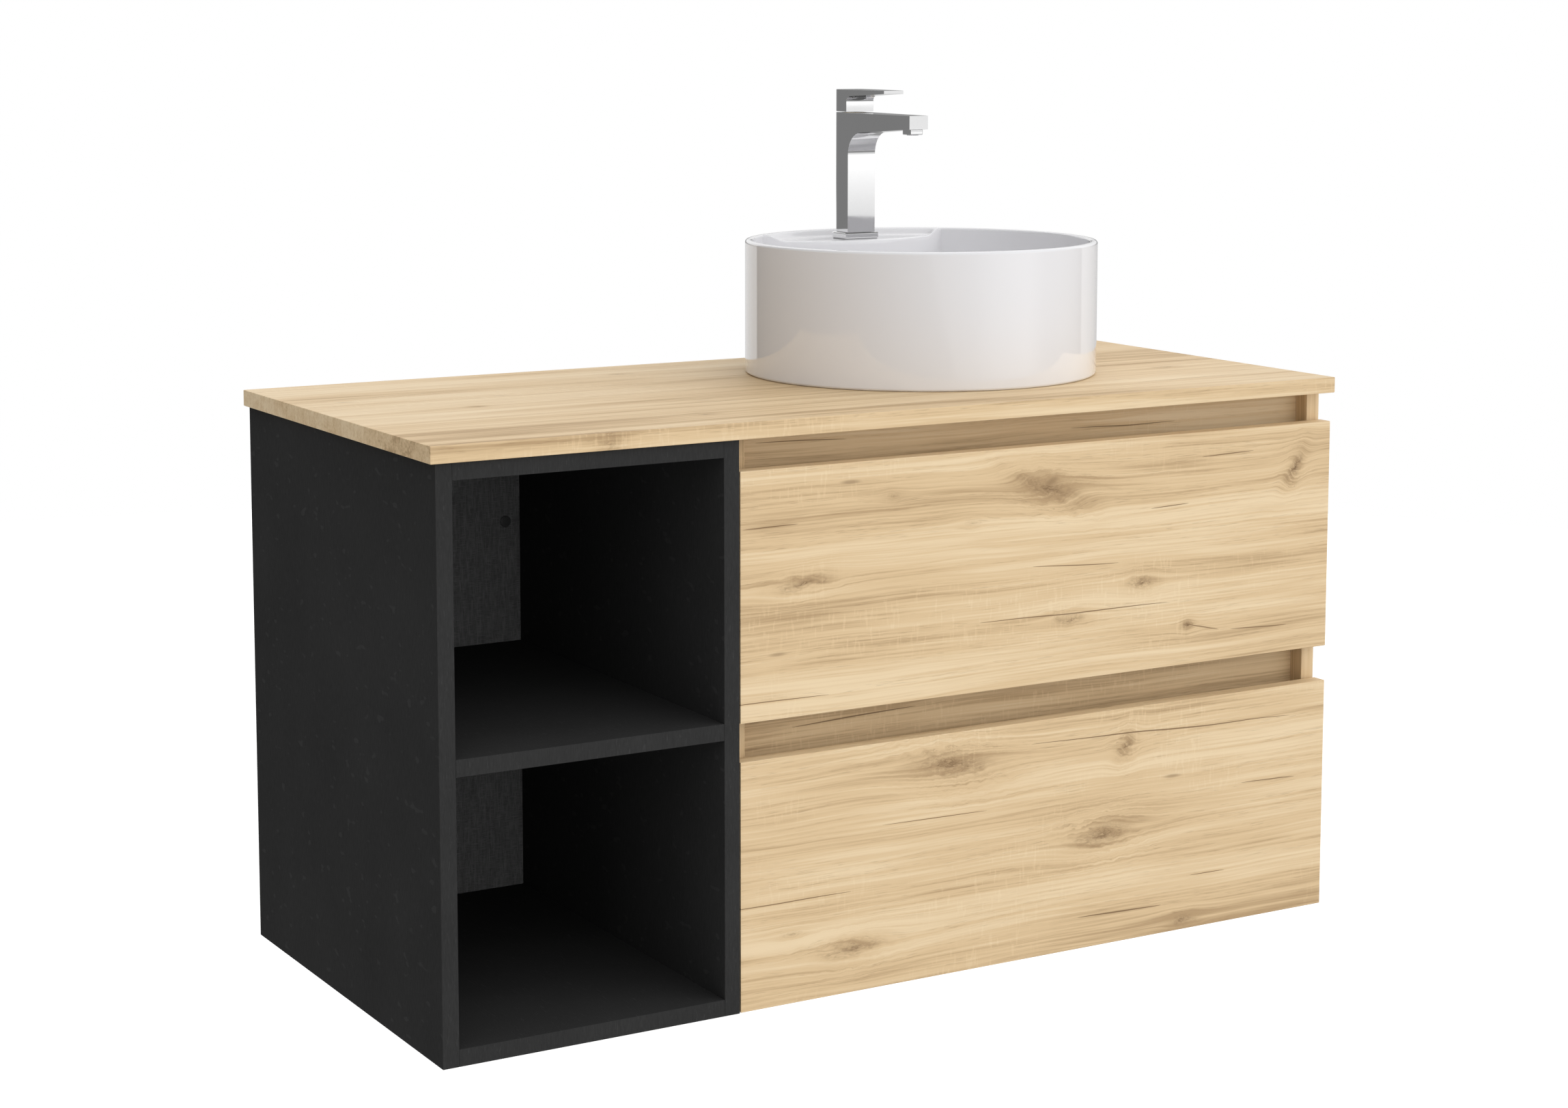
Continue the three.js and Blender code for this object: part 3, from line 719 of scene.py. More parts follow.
@dataclass(frozen=True)
class Plastic(Finish):
    """Moulded plastic with a fine spark-eroded texture."""

    kind: PlasticKind

    @property
    def title(self) -> str:
        """The material's name."""
        return self.kind.value[0]

    @property
    def slot(self) -> str:
        """The record slot that it belongs to."""
        return self.kind.value[1]

    def dress(self, t: Tree, shader: bpy.types.NodeInputs, place: Socket) -> None:
        """Feeds the shader with the moulded texture and flow marks."""
        _, _, colour, rough = self.kind.value
        wear = t.placed(wear_effect(), Place=place)
        flow = t.noise(place, 14.0, 2.0)
        deep = tuple(part * 0.86 for part in colour)
        t.feed(shader["Base Color"], t.blend(flow, (*colour, 1.0), (*deep, 1.0)))
        t.feed(shader["Roughness"], t.ramp(wear.outputs["Smudge"], 0.0, 1.0, rough, rough + 0.18))
        t.feed(shader["Normal"], t.bump(wear.outputs["Fine"], 0.2, 0.0002))


CHROME, BRASS = Metal(MetalKind.CHROME), Metal(MetalKind.BRASS)
ZINC, RUNNER_STEEL = Metal(MetalKind.ZINC), Metal(MetalKind.RUNNER)
WHITE_PLASTIC, GREY_PLASTIC = Plastic(PlasticKind.WHITE), Plastic(PlasticKind.GREY)
BLACK_PLASTIC = Plastic(PlasticKind.BLACK)
BLACK_BOARD, GLAZE = FacedBoard(), Glaze()
LINEN, DRAWER_LINEN = Linen(), Linen("anthracite drawer linen", "linen_board", 0.085)


# ---------------------------------------------------------------- mesh helpers

UP = Vector((0, 0, 1))
ROOM = Vector((0, -1, 0))


def turned_to(direction: Vector, at: Sequence[float]) -> Matrix:
    """A frame whose Z axis points along a direction.

    Args:
        direction: where Z goes.
        at: the frame's origin, in metres.

    Returns:
        The frame's matrix.
    """
    return Matrix.Translation(Vector(at)) @ direction.to_track_quat("Z", "Y").to_matrix().to_4x4()


def arc(centre: Point2, radius: float, start: float, end: float, steps: int) -> list[Point2]:
    """Points along an arc, both ends included.

    Args:
        centre: the arc's centre.
        radius: its radius.
        start: its first angle in degrees.
        end: its last angle in degrees.
        steps: the spans between points.

    Returns:
        The points in order.
    """
    angles = (math.radians(start + (end - start) * k / steps) for k in range(steps + 1))
    return [(centre[0] + radius * math.cos(a), centre[1] + radius * math.sin(a)) for a in angles]


def circle(centre: Point2, radius: float, steps: int = 48) -> list[Point2]:
    """Points all the way round a circle, without the first one again."""
    return arc(centre, radius, 0, 360 - 360 / steps, steps - 1)


def add_prism(bm: bmesh.types.BMesh, outline: Sequence[Point2], place: Matrix, height: float) -> None:
    """Adds a flat outline drawn up along its own Z.

    Args:
        bm: the mesh that takes it.
        outline: the outline in the frame's X and Y.
        place: the frame.
        height: how far it goes along Z.
    """
    low = [bm.verts.new(place @ Vector((x, y, 0))) for x, y in outline]
    high = [bm.verts.new(place @ Vector((x, y, height))) for x, y in outline]
    bm.faces.new(low[::-1])
    bm.faces.new(high)
    for k in range(len(outline)):
        n = (k + 1) % len(outline)
        bm.faces.new((low[k], low[n], high[n], high[k]))


def add_box(bm: bmesh.types.BMesh, low: Sequence[float], high: Sequence[float]) -> None:
    """Adds a block between two corners.

    Args:
        bm: the mesh that takes it.
        low: its lowest corner, in metres.
        high: its highest corner.
    """
    outline = [(low[0], low[1]), (high[0], low[1]), (high[0], high[1]), (low[0], high[1])]
    add_prism(bm, outline, Matrix.Translation((0, 0, low[2])), high[2] - low[2])


def add_plate(bm: bmesh.types.BMesh, loops: Sequence[Sequence[Point2]], low: float, high: float) -> None:
    """Adds a flat plate with holes.

    Args:
        bm: the mesh that takes it.
        loops: the outline, then each hole.
        low: the height of its underside.
        high: the height of its top.
    """
    edges = []
    for loop in loops:
        ring = [bm.verts.new((x, y, low)) for x, y in loop]
        edges += [bm.edges.new((ring[k - 1], ring[k])) for k in range(len(ring))]
    filled = bmesh.ops.triangle_fill(bm, edges=edges, use_beauty=True, use_dissolve=True, normal=UP)
    faces = [g for g in filled["geom"] if isinstance(g, bmesh.types.BMFace)]
    grown = bmesh.ops.extrude_face_region(bm, geom=faces, use_keep_orig=True)
    lifted = [g for g in grown["geom"] if isinstance(g, bmesh.types.BMVert)]
    bmesh.ops.translate(bm, verts=lifted, vec=(0, 0, high - low))


def along_x(start: float) -> Matrix:
    """A frame for an outline in Y and Z that is drawn out along X from start."""
    return Matrix(((0, 0, 1, start), (1, 0, 0, 0), (0, 1, 0, 0), (0, 0, 0, 1)))


def add_turned(bm: bmesh.types.BMesh, profile: Sequence[Point2], place: Matrix, steps: int = 48,
               closed: bool = True) -> None:
    """Adds a solid of revolution about its own Z.

    Args:
        bm: the mesh that takes it.
        profile: radius and height of each point, in metres.
        place: the frame.
        steps: the facets round it.
        closed: whether the last point joins the first; otherwise both ends lie on the axis.
    """
    rings = []
    for radius, height in profile:
        if radius < 1e-7:
            rings.append([bm.verts.new(place @ Vector((0, 0, height)))])
            continue
        turn = (2 * math.pi * k / steps for k in range(steps))
        rings.append([bm.verts.new(place @ Vector((radius * math.cos(a), radius * math.sin(a), height)))
                      for a in turn])
    for first, second in zip(rings, rings[1:] + ([rings[0]] if closed else [])):
        for k in range(steps):
            n = (k + 1) % steps
            corners = [first[k % len(first)], first[n % len(first)], second[n % len(second)],
                       second[k % len(second)]]
            unique = list(dict.fromkeys(corners))
            if len(unique) > 2:
                bm.faces.new(unique)


def add_screw(bm: bmesh.types.BMesh, at: Sequence[float], out: Vector, radius: float = 3.5 * MM) -> None:
    """Adds a pan screw head with a cross recess.

    Args:
        bm: the mesh that takes it.
        at: the centre of its seat, in metres.
        out: the way it faces.
        radius: the head's radius.
    """
    place = turned_to(out, at)
    rise, arm, slot, deep = 0.5 * radius, 0.62 * radius, 0.16 * radius, 0.3 * radius
    steps = 24
    rim = [(radius * math.cos(2 * math.pi * k / steps), radius * math.sin(2 * math.pi * k / steps))
           for k in range(steps)]
    cross = [(arm, -slot), (arm, slot), (slot, slot), (slot, arm), (-slot, arm), (-slot, slot),
             (-arm, slot),
             (-arm, -slot), (-slot, -slot), (-slot, -arm), (slot, -arm), (slot, -slot)]
    seat = [bm.verts.new(place @ Vector((x, y, 0))) for x, y in rim]
    edge = [bm.verts.new(place @ Vector((x, y, 0.45 * rise))) for x, y in rim]
    crown = [bm.verts.new(place @ Vector((0.8 * x, 0.8 * y, rise))) for x, y in rim]
    lip = [bm.verts.new(place @ Vector((x, y, rise))) for x, y in cross]
    pit = [bm.verts.new(place @ Vector((0.8 * x, 0.8 * y, rise - deep))) for x, y in cross]
    bm.faces.new(seat[::-1])
    bm.faces.new(pit)
    for first, second in ((seat, edge), (edge, crown), (pit, lip)):
        for k in range(len(first)):
            n = (k + 1) % len(first)
            bm.faces.new((first[k], first[n], second[n], second[k]))
    loops = [bm.edges.get((ring[k], ring[(k + 1) % len(ring)])) or bm.edges.new((ring[k],
    ring[(k + 1) % len(ring)]))
             for ring in (crown, lip) for k in range(len(ring))]
    bmesh.ops.triangle_fill(bm, edges=loops, use_beauty=True, normal=place.to_3x3() @ UP)


def soften(bm: bmesh.types.BMesh, width: float, segments: int = 2, sharpest: float = 30.0) -> None:
    """Rounds every sharp edge.

    Args:
        bm: the mesh.
        width: the width of the rounding, in metres.
        segments: its facets.
        sharpest: edges that turn more than this many degrees are rounded.
    """
    limit = math.radians(sharpest)
    edges = [e for e in bm.edges if len(e.link_faces) == 2 and e.calc_face_angle(0.0) > limit]
    if edges and width > 0:
        bmesh.ops.bevel(bm, geom=edges, offset=width, offset_type="OFFSET", segments=segments, profile=0.5,
                        affect="EDGES", clamp_overlap=True)


def sheer_solid(bm: bmesh.types.BMesh, outline: Sequence[Point2], half_width: Callable[[float], float],
                breaks: Iterable[float], middle: float) -> None:
    """Adds a side outline drawn out both ways to a width that changes along Y.

    Args:
        bm: the mesh that takes it.
        outline: the side outline as Y and Z.
        half_width: the half width at any Y.
        breaks: the Y values where the width bends.
        middle: the X of the middle plane.
    """
    piece = bmesh.new()
    piece.faces.new([piece.verts.new((0, y, z)) for y, z in outline])
    for y in breaks:
        bmesh.ops.bisect_plane(piece, geom=piece.verts[:] + piece.edges[:] + piece.faces[:], dist=1e-7,
                               plane_co=(0, y, 0), plane_no=(0, 1, 0))
    near = piece.verts[:]
    grown = bmesh.ops.extrude_face_region(piece, geom=piece.faces[:], use_keep_orig=True)
    far = [v for v in grown["geom"] if isinstance(v, bmesh.types.BMVert)]
    for vertex in near:
        vertex.co.x = middle - half_width(vertex.co.y)
    for vertex in far:
        vertex.co.x = middle + half_width(vertex.co.y)
    bmesh.ops.recalc_face_normals(piece, faces=piece.faces[:])
    scratch = bpy.data.meshes.new("scratch")
    piece.to_mesh(scratch)
    bm.from_mesh(scratch)
    bpy.data.meshes.remove(scratch)
    piece.free()


@dataclass
class Bench:
    """Where pieces are made: it finishes each mesh and puts it on its body."""

    frame: dict
    count: int = 0

    def piece(self, name: str, bm: bmesh.types.BMesh, finish: Finish, body: str,
              replaces: Sequence[str] = (),
              edge: float = 0.0, segments: int = 2, smooth: bool = True) -> bpy.types.Object:
        """Turns a mesh into a dressed piece on its body.

        Args:
            name: the piece's name.
            bm: its mesh, which is used up.
            finish: its finish.
            body: the body that it rides on.
            replaces: the frame nodes that it stands for.
            edge: the rounding of its sharp edges, in metres.
            segments: the facets of that rounding.
            smooth: whether faces are shaded smoothly by their area.

        Returns:
            The piece.
        """
        bmesh.ops.remove_doubles(bm, verts=bm.verts[:], dist=1e-6)
        bmesh.ops.recalc_face_normals(bm, faces=bm.faces[:])
        soften(bm, edge, segments)
        mesh = bpy.data.meshes.new(name)
        bm.to_mesh(mesh)
        bm.free()
        made = bpy.data.objects.new(name, mesh)
        bpy.context.scene.collection.objects.link(made)
        mesh.materials.append(finish.material())
        if smooth:
            mesh.polygons.foreach_set("use_smooth", [True] * len(mesh.polygons))
            mesh.set_sharp_from_angle(angle=math.radians(38))
            shade = made.modifiers.new("even shading", "WEIGHTED_NORMAL")
            shade.keep_sharp = True
        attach(made, body)
        if replaces:
            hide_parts(*replaces)
        self.count += 1
        log.info("made %s on %s", name, body)
        return made

    def board(self, node: str, finish: Finish, body: str, edge: float = 0.6 * MM) -> bpy.types.Object:
        """Remakes a plain board with eased edges.

        Args:
            node: the frame node that it stands for.
            finish: its finish.
            body: the body that it rides on.
            edge: how far its edges are eased.

        Returns:
            The board.
        """
        low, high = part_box(node)
        bm = bmesh.new()
        add_box(bm, low, high)
        return self.piece(f"{node}_board", bm, finish, body, [node], edge)


# ---------------------------------------------------------------- the oak boards

OAK_UPPER = Oak("oak upper front", "oak_front", Grain.ALONG_X, 0.0, knots=(
    Knot(150, -19, 30, 9, 0.85, 1.0, -0.3), Knot(-129, -86, 24, 6, 0.9, 0.3, 0.15),
    Knot(263, -122, 15, 6, 0.8, 0.9), Knot(176, -150, 16, 5, 0.75, 0.8),
    Knot(457, -20, 9, 9, 0.95, 0.9, 0.9),
    Knot(322, -171, 6, 4, 1.0, 0.6), Knot(61, -45, 9, 3, 0.35), Knot(-30, -12, 8, 3, 0.35)),
    cracks=(Crack(131, -94, 235, -98), Crack(69, -144, 296, -146, 0.9), Crack(-193, -31, -134, -30),
            Crack(337, -1, 403, 0), Crack(274, -50, 321, -47), Crack(322, -171, 362, -180),
            Crack(377, -181, 450, -182), Crack(-220, -193, -100, -196)))
OAK_LOWER = Oak("oak lower front", "oak_front", Grain.ALONG_X, 1.0, knots=(
    Knot(39, -279, 34, 11, 0.8, 1.0, -0.1), Knot(218, -374, 28, 10, 0.8, 1.0, 0.1),
    Knot(247, -286, 9, 9, 0.85, 0.6, 0.5), Knot(-74, -444, 28, 8, 0.75, 0.4, 0.1),
    Knot(322, -478, 13, 5, 0.75, 0.8), Knot(-140, -420, 10, 3, 0.5)),
    cracks=(Crack(132, -272, 457, -279, 0.9), Crack(190, -453, 294, -456, 1.0),
            Crack(-220, -386, -75, -388),
            Crack(395, -345, 465, -346, 0.7), Crack(-40, -330, 80, -331, 0.6),
            Crack(330, -432, 375, -433, 0.6)))
OAK_TOP = Oak("oak worktop", "oak_top", Grain.ALONG_X_FLAT, 2.3, knots=(
    Knot(-358, -237, 7, 5, 0.6), Knot(-196, -393, 9, 5, 0.5), Knot(-330, -462, 14, 6, 0.5, 0.4),
    Knot(-120, -70, 12, 5, 0.6), Knot(410, -300, 16, 6, 0.6, 0.6), Knot(402, -130, 9, 4, 0.6)),
    cracks=(Crack(-480, -120, -300, -124, 0.6), Crack(-60, -418, 60, -421, 0.6),
            Crack(300, -395, 440, -391)))
OAK_UPRIGHT = Oak("oak side panels", "oak_carcass", Grain.ALONG_Z, 4.1, knots=(
    Knot(-120, -330, 20, 7, 0.7, 0.7, 0.2), Knot(-360, -150, 16, 5, 0.6, 0.5), Knot(-250, -240, 9, 3, 0.5)),
    cracks=(Crack(-430, -60, -320, -63, 0.6), Crack(-200, -410, -80, -407, 0.6)))
OAK_RAIL = Oak("oak rails", "oak_carcass", Grain.ALONG_X, 5.7, cracks=(
    Crack(-120, -231, 20, -226, 0.9), Crack(200, 34, 330, 31, 0.7), Crack(-160, 44, -60, 41, 0.7)))
OAK_BOTTOM = Oak("oak cabinet bottom", "oak_carcass", Grain.ALONG_X_FLAT, 7.9, knots=(
    Knot(80, -200, 14, 6, 0.7), Knot(330, -320, 9, 4, 0.6)))


# ---------------------------------------------------------------- sub-assemblies


@dataclass
class Worktop:
    """The oak slab, with round holes for the waste and the mixer."""

    bench: Bench
    hole_radius: float = 25 * MM
    holes: tuple[Point2, ...] = ((164.5 * MM, -232 * MM), (164.5 * MM, -67 * MM))
    edge: float = 0.8 * MM

    def build(self) -> None:
        """Makes the slab."""
        low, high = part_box("worktop")
        bm = bmesh.new()
        corners = [(low.x, low.y), (high.x, low.y), (high.x, high.y), (low.x, high.y)]
        loops = [corners] + [circle(hole, self.hole_radius) for hole in self.holes]
        add_plate(bm, loops, low.z, high.z)
        self.bench.piece("oak_worktop", bm, OAK_TOP, "washstand", ["worktop"], self.edge)


@dataclass
class ShelfUnit:
    """The open black unit with two niches, its back panel and the hanger caps."""

    bench: Bench
    boards: tuple[str, ...] = ("left_side", "right_side", "top_panel", "middle_panel", "bottom_panel")
    nail_step: float = 95 * MM
    nail_inset: float = 5 * MM

    def build(self) -> None:
        """Makes the boards, caps and nails."""
        for name in self.boards:
            self.bench.board(f"shelf_{name}", BLACK_BOARD, "washstand", 0.5 * MM)
        self.bench.board("shelf_back_panel", LINEN, "washstand", 0.2 * MM)
        for side in ("left", "right"):
            self.cap(side)
        self.nails()

    def cap(self, side: str) -> None:
        """Makes one domed cover cap.

        Args:
            side: left or right.
        """
        low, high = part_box(f"hanger_cap_{side}")
        centre = (low + high) / 2
        radius, rise = (high.x - low.x) / 2, high.y - low.y
        profile = [(0, 0), (radius, 0), (radius, 0.35 * rise), (0.94 * radius, 0.6 * rise),
                   (0.8 * radius, 0.82 * rise), (0.5 * radius, 0.96 * rise), (0, rise)]
        bm = bmesh.new()
        add_turned(bm, profile, turned_to(ROOM, (centre.x, high.y, centre.z)), 40, closed=False)
        self.bench.piece(f"hanger_cap_{side}_cover", bm, BLACK_PLASTIC, "washstand", [f"hanger_cap_{side}"])

    def nails(self) -> None:
        """Makes the round-headed nails that hold the back panel."""
        low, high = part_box("shelf_back_panel")
        bm = bmesh.new()
        head = 2.2 * MM
        profile = [(0, 0), (head, 0), (head, 0.3 * MM), (0.6 * head, 0.7 * MM), (0, 0.8 * MM)]
        rows = int((high.z - low.z) / self.nail_step)
        for k in range(rows + 1):
            z = low.z + self.nail_inset + (high.z - low.z - 2 * self.nail_inset) * k / rows
            for x in (low.x + self.nail_inset, high.x - self.nail_inset):
                add_turned(bm, profile, turned_to(-ROOM, (x, high.y, z)), 16, closed=False)
        self.bench.piece("shelf_back_nails", bm, ZINC, "washstand")


@dataclass
class DrawerCabinet:
    """The oak carcass round the two drawers."""

    bench: Bench
    joint_screws: tuple[float, ...] = (-90 * MM, -230 * MM, -380 * MM)
    housing_sunk: float = 2.6 * MM
    housing_radius: float = 6.5 * MM
    housing_inset: float = 34 * MM

    def build(self) -> None:
        """Makes the sides, rails, bottom and their fixings."""
        for side in ("left_side", "right_side"):
            self.bench.board(f"cabinet_{side}", OAK_UPRIGHT, "washstand")
        for rail in ("top_grip_rail", "middle_grip_rail", "rear_rail_upper", "rear_rail_lower"):
            self.bench.board(f"cabinet_{rail}", OAK_RAIL, "washstand")
        self.bench.board("cabinet_bottom_panel", OAK_BOTTOM, "washstand")
        self.cam_housings()

    def cam_housings(self) -> None:
        """Makes the cam housings let into the bottom panel beside each side."""
        low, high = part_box("cabinet_bottom_panel")
        bm = bmesh.new()
        for y in self.joint_screws:
            for x in (low.x + self.housing_inset, high.x - self.housing_inset):
                add_screw(bm, (x, y, low.z + self.housing_sunk), -UP, self.housing_radius)
        self.bench.piece("cabinet_cam_fixings", bm, ZINC, "washstand")


@dataclass
class Drawer:
    """One drawer: an oak front on a dark box, with its front brackets and screws."""

    bench: Bench
    level: str
    front: Oak
    notch: tuple[float, float, float] | None = None
    bracket: float = 26 * MM

    @property
    def body(self) -> str:
        """The body that the drawer rides on."""
        return f"{self.level}_drawer"

    def build(self) -> None:
        """Makes the front, box, brackets and screws."""
        self.bench.board(f"{self.body}_front", self.front, self.body, 0.7 * MM)
        for side in ("left_side", "right_side"):
            self.bench.board(f"{self.body}_{side}", DRAWER_LINEN, self.body, 0.4 * MM)
        if self.notch:
            self.notched_boards(*self.notch)
        else:
            self.bench.board(f"{self.body}_bottom", DRAWER_LINEN, self.body, 0.3 * MM)
            self.bench.board(f"{self.body}_back", DRAWER_LINEN, self.body, 0.4 * MM)
        self.brackets()

    def notched_boards(self, left: float, right: float, front: float) -> None:
        """Makes the bottom and back that run round the trap.

        Args:
            left: the notch's left side, in metres.
            right: its right side.
            front: its front.
        """
        low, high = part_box(f"{self.body}_bottom")
        outline = [(low.x, low.y), (high.x, low.y), (high.x, high.y), (right, high.y), (right, front),
                   (left, front), (left, high.y), (low.x, high.y)]
        bm = bmesh.new()
        add_prism(bm, outline, Matrix.Translation((0, 0, low.z)), high.z - low.z)
        self.bench.piece(f"{self.body}_bottom_board", bm, DRAWER_LINEN, self.body, [f"{self.body}_bottom"],
                         0.3 * MM)
        low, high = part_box(f"{self.body}_back")
        wall = 12 * MM
        inner = high.y - wall
        outline = [(low.x, inner), (left - wall, inner), (left - wall, front - wall),
                   (right + wall, front - wall),
                   (right + wall, inner), (high.x, inner), (high.x, high.y), (right, high.y),
                   (right, front),
                   (left, front), (left, high.y), (low.x, high.y)]
        bm = bmesh.new()
        add_prism(bm, outline, Matrix.Translation((0, 0, low.z)), high.z - low.z)
        self.bench.piece(f"{self.body}_back_board", bm, DRAWER_LINEN, self.body, [f"{self.body}_back"],
                         0.4 * MM)

    def brackets(self) -> None:
        """Makes the steel angles that hold the front to the box, with their screws."""
        _, front_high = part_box(f"{self.body}_front")
        angles, screws = bmesh.new(), bmesh.new()
        sheet = 1.6 * MM
        for side, inward in (("left_side", 1), ("right_side", -1)):
            low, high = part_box(f"{self.body}_{side}")
            face = high.x if inward > 0 else low.x
            for share in (0.3, 0.72):
                z = low.z + (high.z - low.z) * share
                half = 9 * MM
                reach = face + inward * self.bracket
                xs = sorted((face, reach))
                add_box(angles, (xs[0], front_high.y, z - half), (xs[1], front_high.y + sheet, z + half))
                xs = sorted((face, face + inward * sheet))
                add_box(angles, (xs[0], front_high.y, z - half),
                        (xs[1], front_high.y + self.bracket, z + half))
                add_screw(screws, (face + inward * 0.6 * self.bracket, front_high.y + sheet, z), -ROOM)
                add_screw(screws, (face + inward * sheet, front_high.y + 0.6 * self.bracket, z),
                          Vector((inward, 0, 0)))
        self.bench.piece(f"{self.body}_front_angles", angles, ZINC, self.body, edge=0.3 * MM)
        self.bench.piece(f"{self.body}_front_screws", screws, ZINC, self.body)


@dataclass
class Runners:
    """The ball-bearing runners of one drawer: nested steel channels on both sides."""

    bench: Bench
    level: str
    sheet: float = 1.2 * MM
    members: tuple[tuple[str, float, float, float, float], ...] = (
        ("fixed", 0.0, 22.5 * MM, 11.0 * MM, 3.0 * MM), ("middle", 2.0 * MM, 17.6 * MM, 8.2 * MM, 2.4 * MM))
    drawer_member: tuple[float, float] = (11.8 * MM, 8.6 * MM)
    ball: float = 1.6 * MM

    def build(self) -> None:
        """Makes both sides."""
        bodies = {"fixed": "washstand", "middle": f"{self.level}_runners", "drawer": f"{self.level}_drawer"}
        for side, inward in (("left", 1), ("right", -1)):
            fixed_low, fixed_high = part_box(f"{self.level}_runner_fixed_{side}")
            drawer_low, drawer_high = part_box(f"{self.level}_runner_drawer_{side}")
            wall = fixed_low.x if inward > 0 else fixed_high.x
            box_face = drawer_high.x if inward > 0 else drawer_low.x
            axis = (fixed_low.z + fixed_high.z) / 2
            ends = (fixed_low.y, fixed_high.y)
            for name, offset, half, depth, lip in self.members:
                outline = self.channel(half, depth, lip)
                self.member(name, side, wall + inward * offset, inward, axis, outline, ends, bodies[name])
            half, depth = self.drawer_member
            self.member("drawer", side, box_face, -inward, axis, self.channel(half, depth, 0.0), ends,
                        bodies["drawer"])
            self.cage(side, wall, inward, axis, ends)
            self.screws(side, box_face, -inward, axis, ends)

    def channel(self, half: float, depth: float, lip: float) -> list[Point2]:
        """The section of one channel, from its web outwards.

        Args:
            half: half its height.
            depth: how far its flanges reach.
            lip: the turned-in edge, or 0.

        Returns:
            The outline as depth and height.
        """
        t = self.sheet
        if lip <= 0:
            return [(0, -half), (depth, -half), (depth, t - half), (t, t - half), (t, half - t),
                    (depth, half - t),
                    (depth, half), (0, half)]
        return [(0, -half), (depth, -half), (depth, lip - half), (depth - t, lip - half),
                (depth - t, t - half),
                (t, t - half), (t, half - t), (depth - t, half - t), (depth - t, half - lip),
                (depth, half - lip),
                (depth, half), (0, half)]

    def member(self, name: str, side: str, x: float, inward: int, axis: float, outline: Sequence[Point2],
               ends: Point2, body: str) -> None:
        """Makes one channel.

        Args:
            name: fixed, middle or drawer.
            side: left or right.
            x: where its web starts.
            inward: the way that its flanges reach along X.
            axis: the height of its middle.
            outline: its section.
            ends: its front and back.
            body: the body that it rides on.
        """
        bm = bmesh.new()
        place = Matrix(((inward, 0, 0, x), (0, 0, 1, ends[0]), (0, 1, 0, axis), (0, 0, 0, 1)))
        add_prism(bm, outline, place, ends[1] - ends[0])
        node = f"{self.level}_runner_{name}_{side}"
        self.bench.piece(f"{node}_channel", bm, RUNNER_STEEL, body, [node], 0.4 * MM)

    def cage(self, side: str, wall: float, inward: int, axis: float, ends: Point2) -> None:
        """Makes the balls and their cage strips between the fixed and middle channels.

        Args:
            side: left or right.
            wall: the fixed channel's back.
            inward: the way into the cabinet along X.
            axis: the height of the runner's middle.
            ends: the runner's front and back.
        """
        balls, strips = bmesh.new(), bmesh.new()
        middle = wall + inward * 6.1 * MM
        length = 0.42 * (ends[1] - ends[0])
        start = ends[0] + 0.5 * (ends[1] - ends[0] - length)
        count = 12
        half_circle = [(self.ball * math.sin(math.pi * k / 8), -self.ball * math.cos(math.pi * k / 8))
                       for k in range(9)]
        for upward in (-1, 1):
            z = axis + upward * 19.5 * MM
            for k in range(count):
                y = start + length * (k + 0.5) / count
                add_turned(balls, half_circle, Matrix.Translation((middle, y, z)), 12, closed=False)
            add_box(strips, (middle - 2.6 * MM, start, z - 0.35 * MM), (middle + 2.6 * MM, start + length,
                                                                       z + 0.35 * MM))
        body = f"{self.level}_runners"
        self.bench.piece(f"{self.level}_runner_balls_{side}", balls, CHROME, body)
        self.bench.piece(f"{self.level}_runner_cage_{side}", strips, ZINC, body, edge=0.15 * MM)

    def screws(self, side: str, x: float, out: int, axis: float, ends: Point2) -> None:
        """Makes the screws through the drawer channel.

        Args:
            side: left or right.
            x: the drawer channel's back.
            out: the way that the heads face along X.
            axis: the height of the runner's middle.
            ends: the runner's front and back.
        """
        bm = bmesh.new()
        for share in (0.12, 0.5, 0.9):
            y = ends[0] + share * (ends[1] - ends[0])
            add_screw(bm, (x + out * self.sheet, y, axis), Vector((out, 0, 0)), 3.2 * MM)
        self.bench.piece(f"{self.level}_runner_screws_{side}", bm, ZINC, f"{self.level}_drawer")


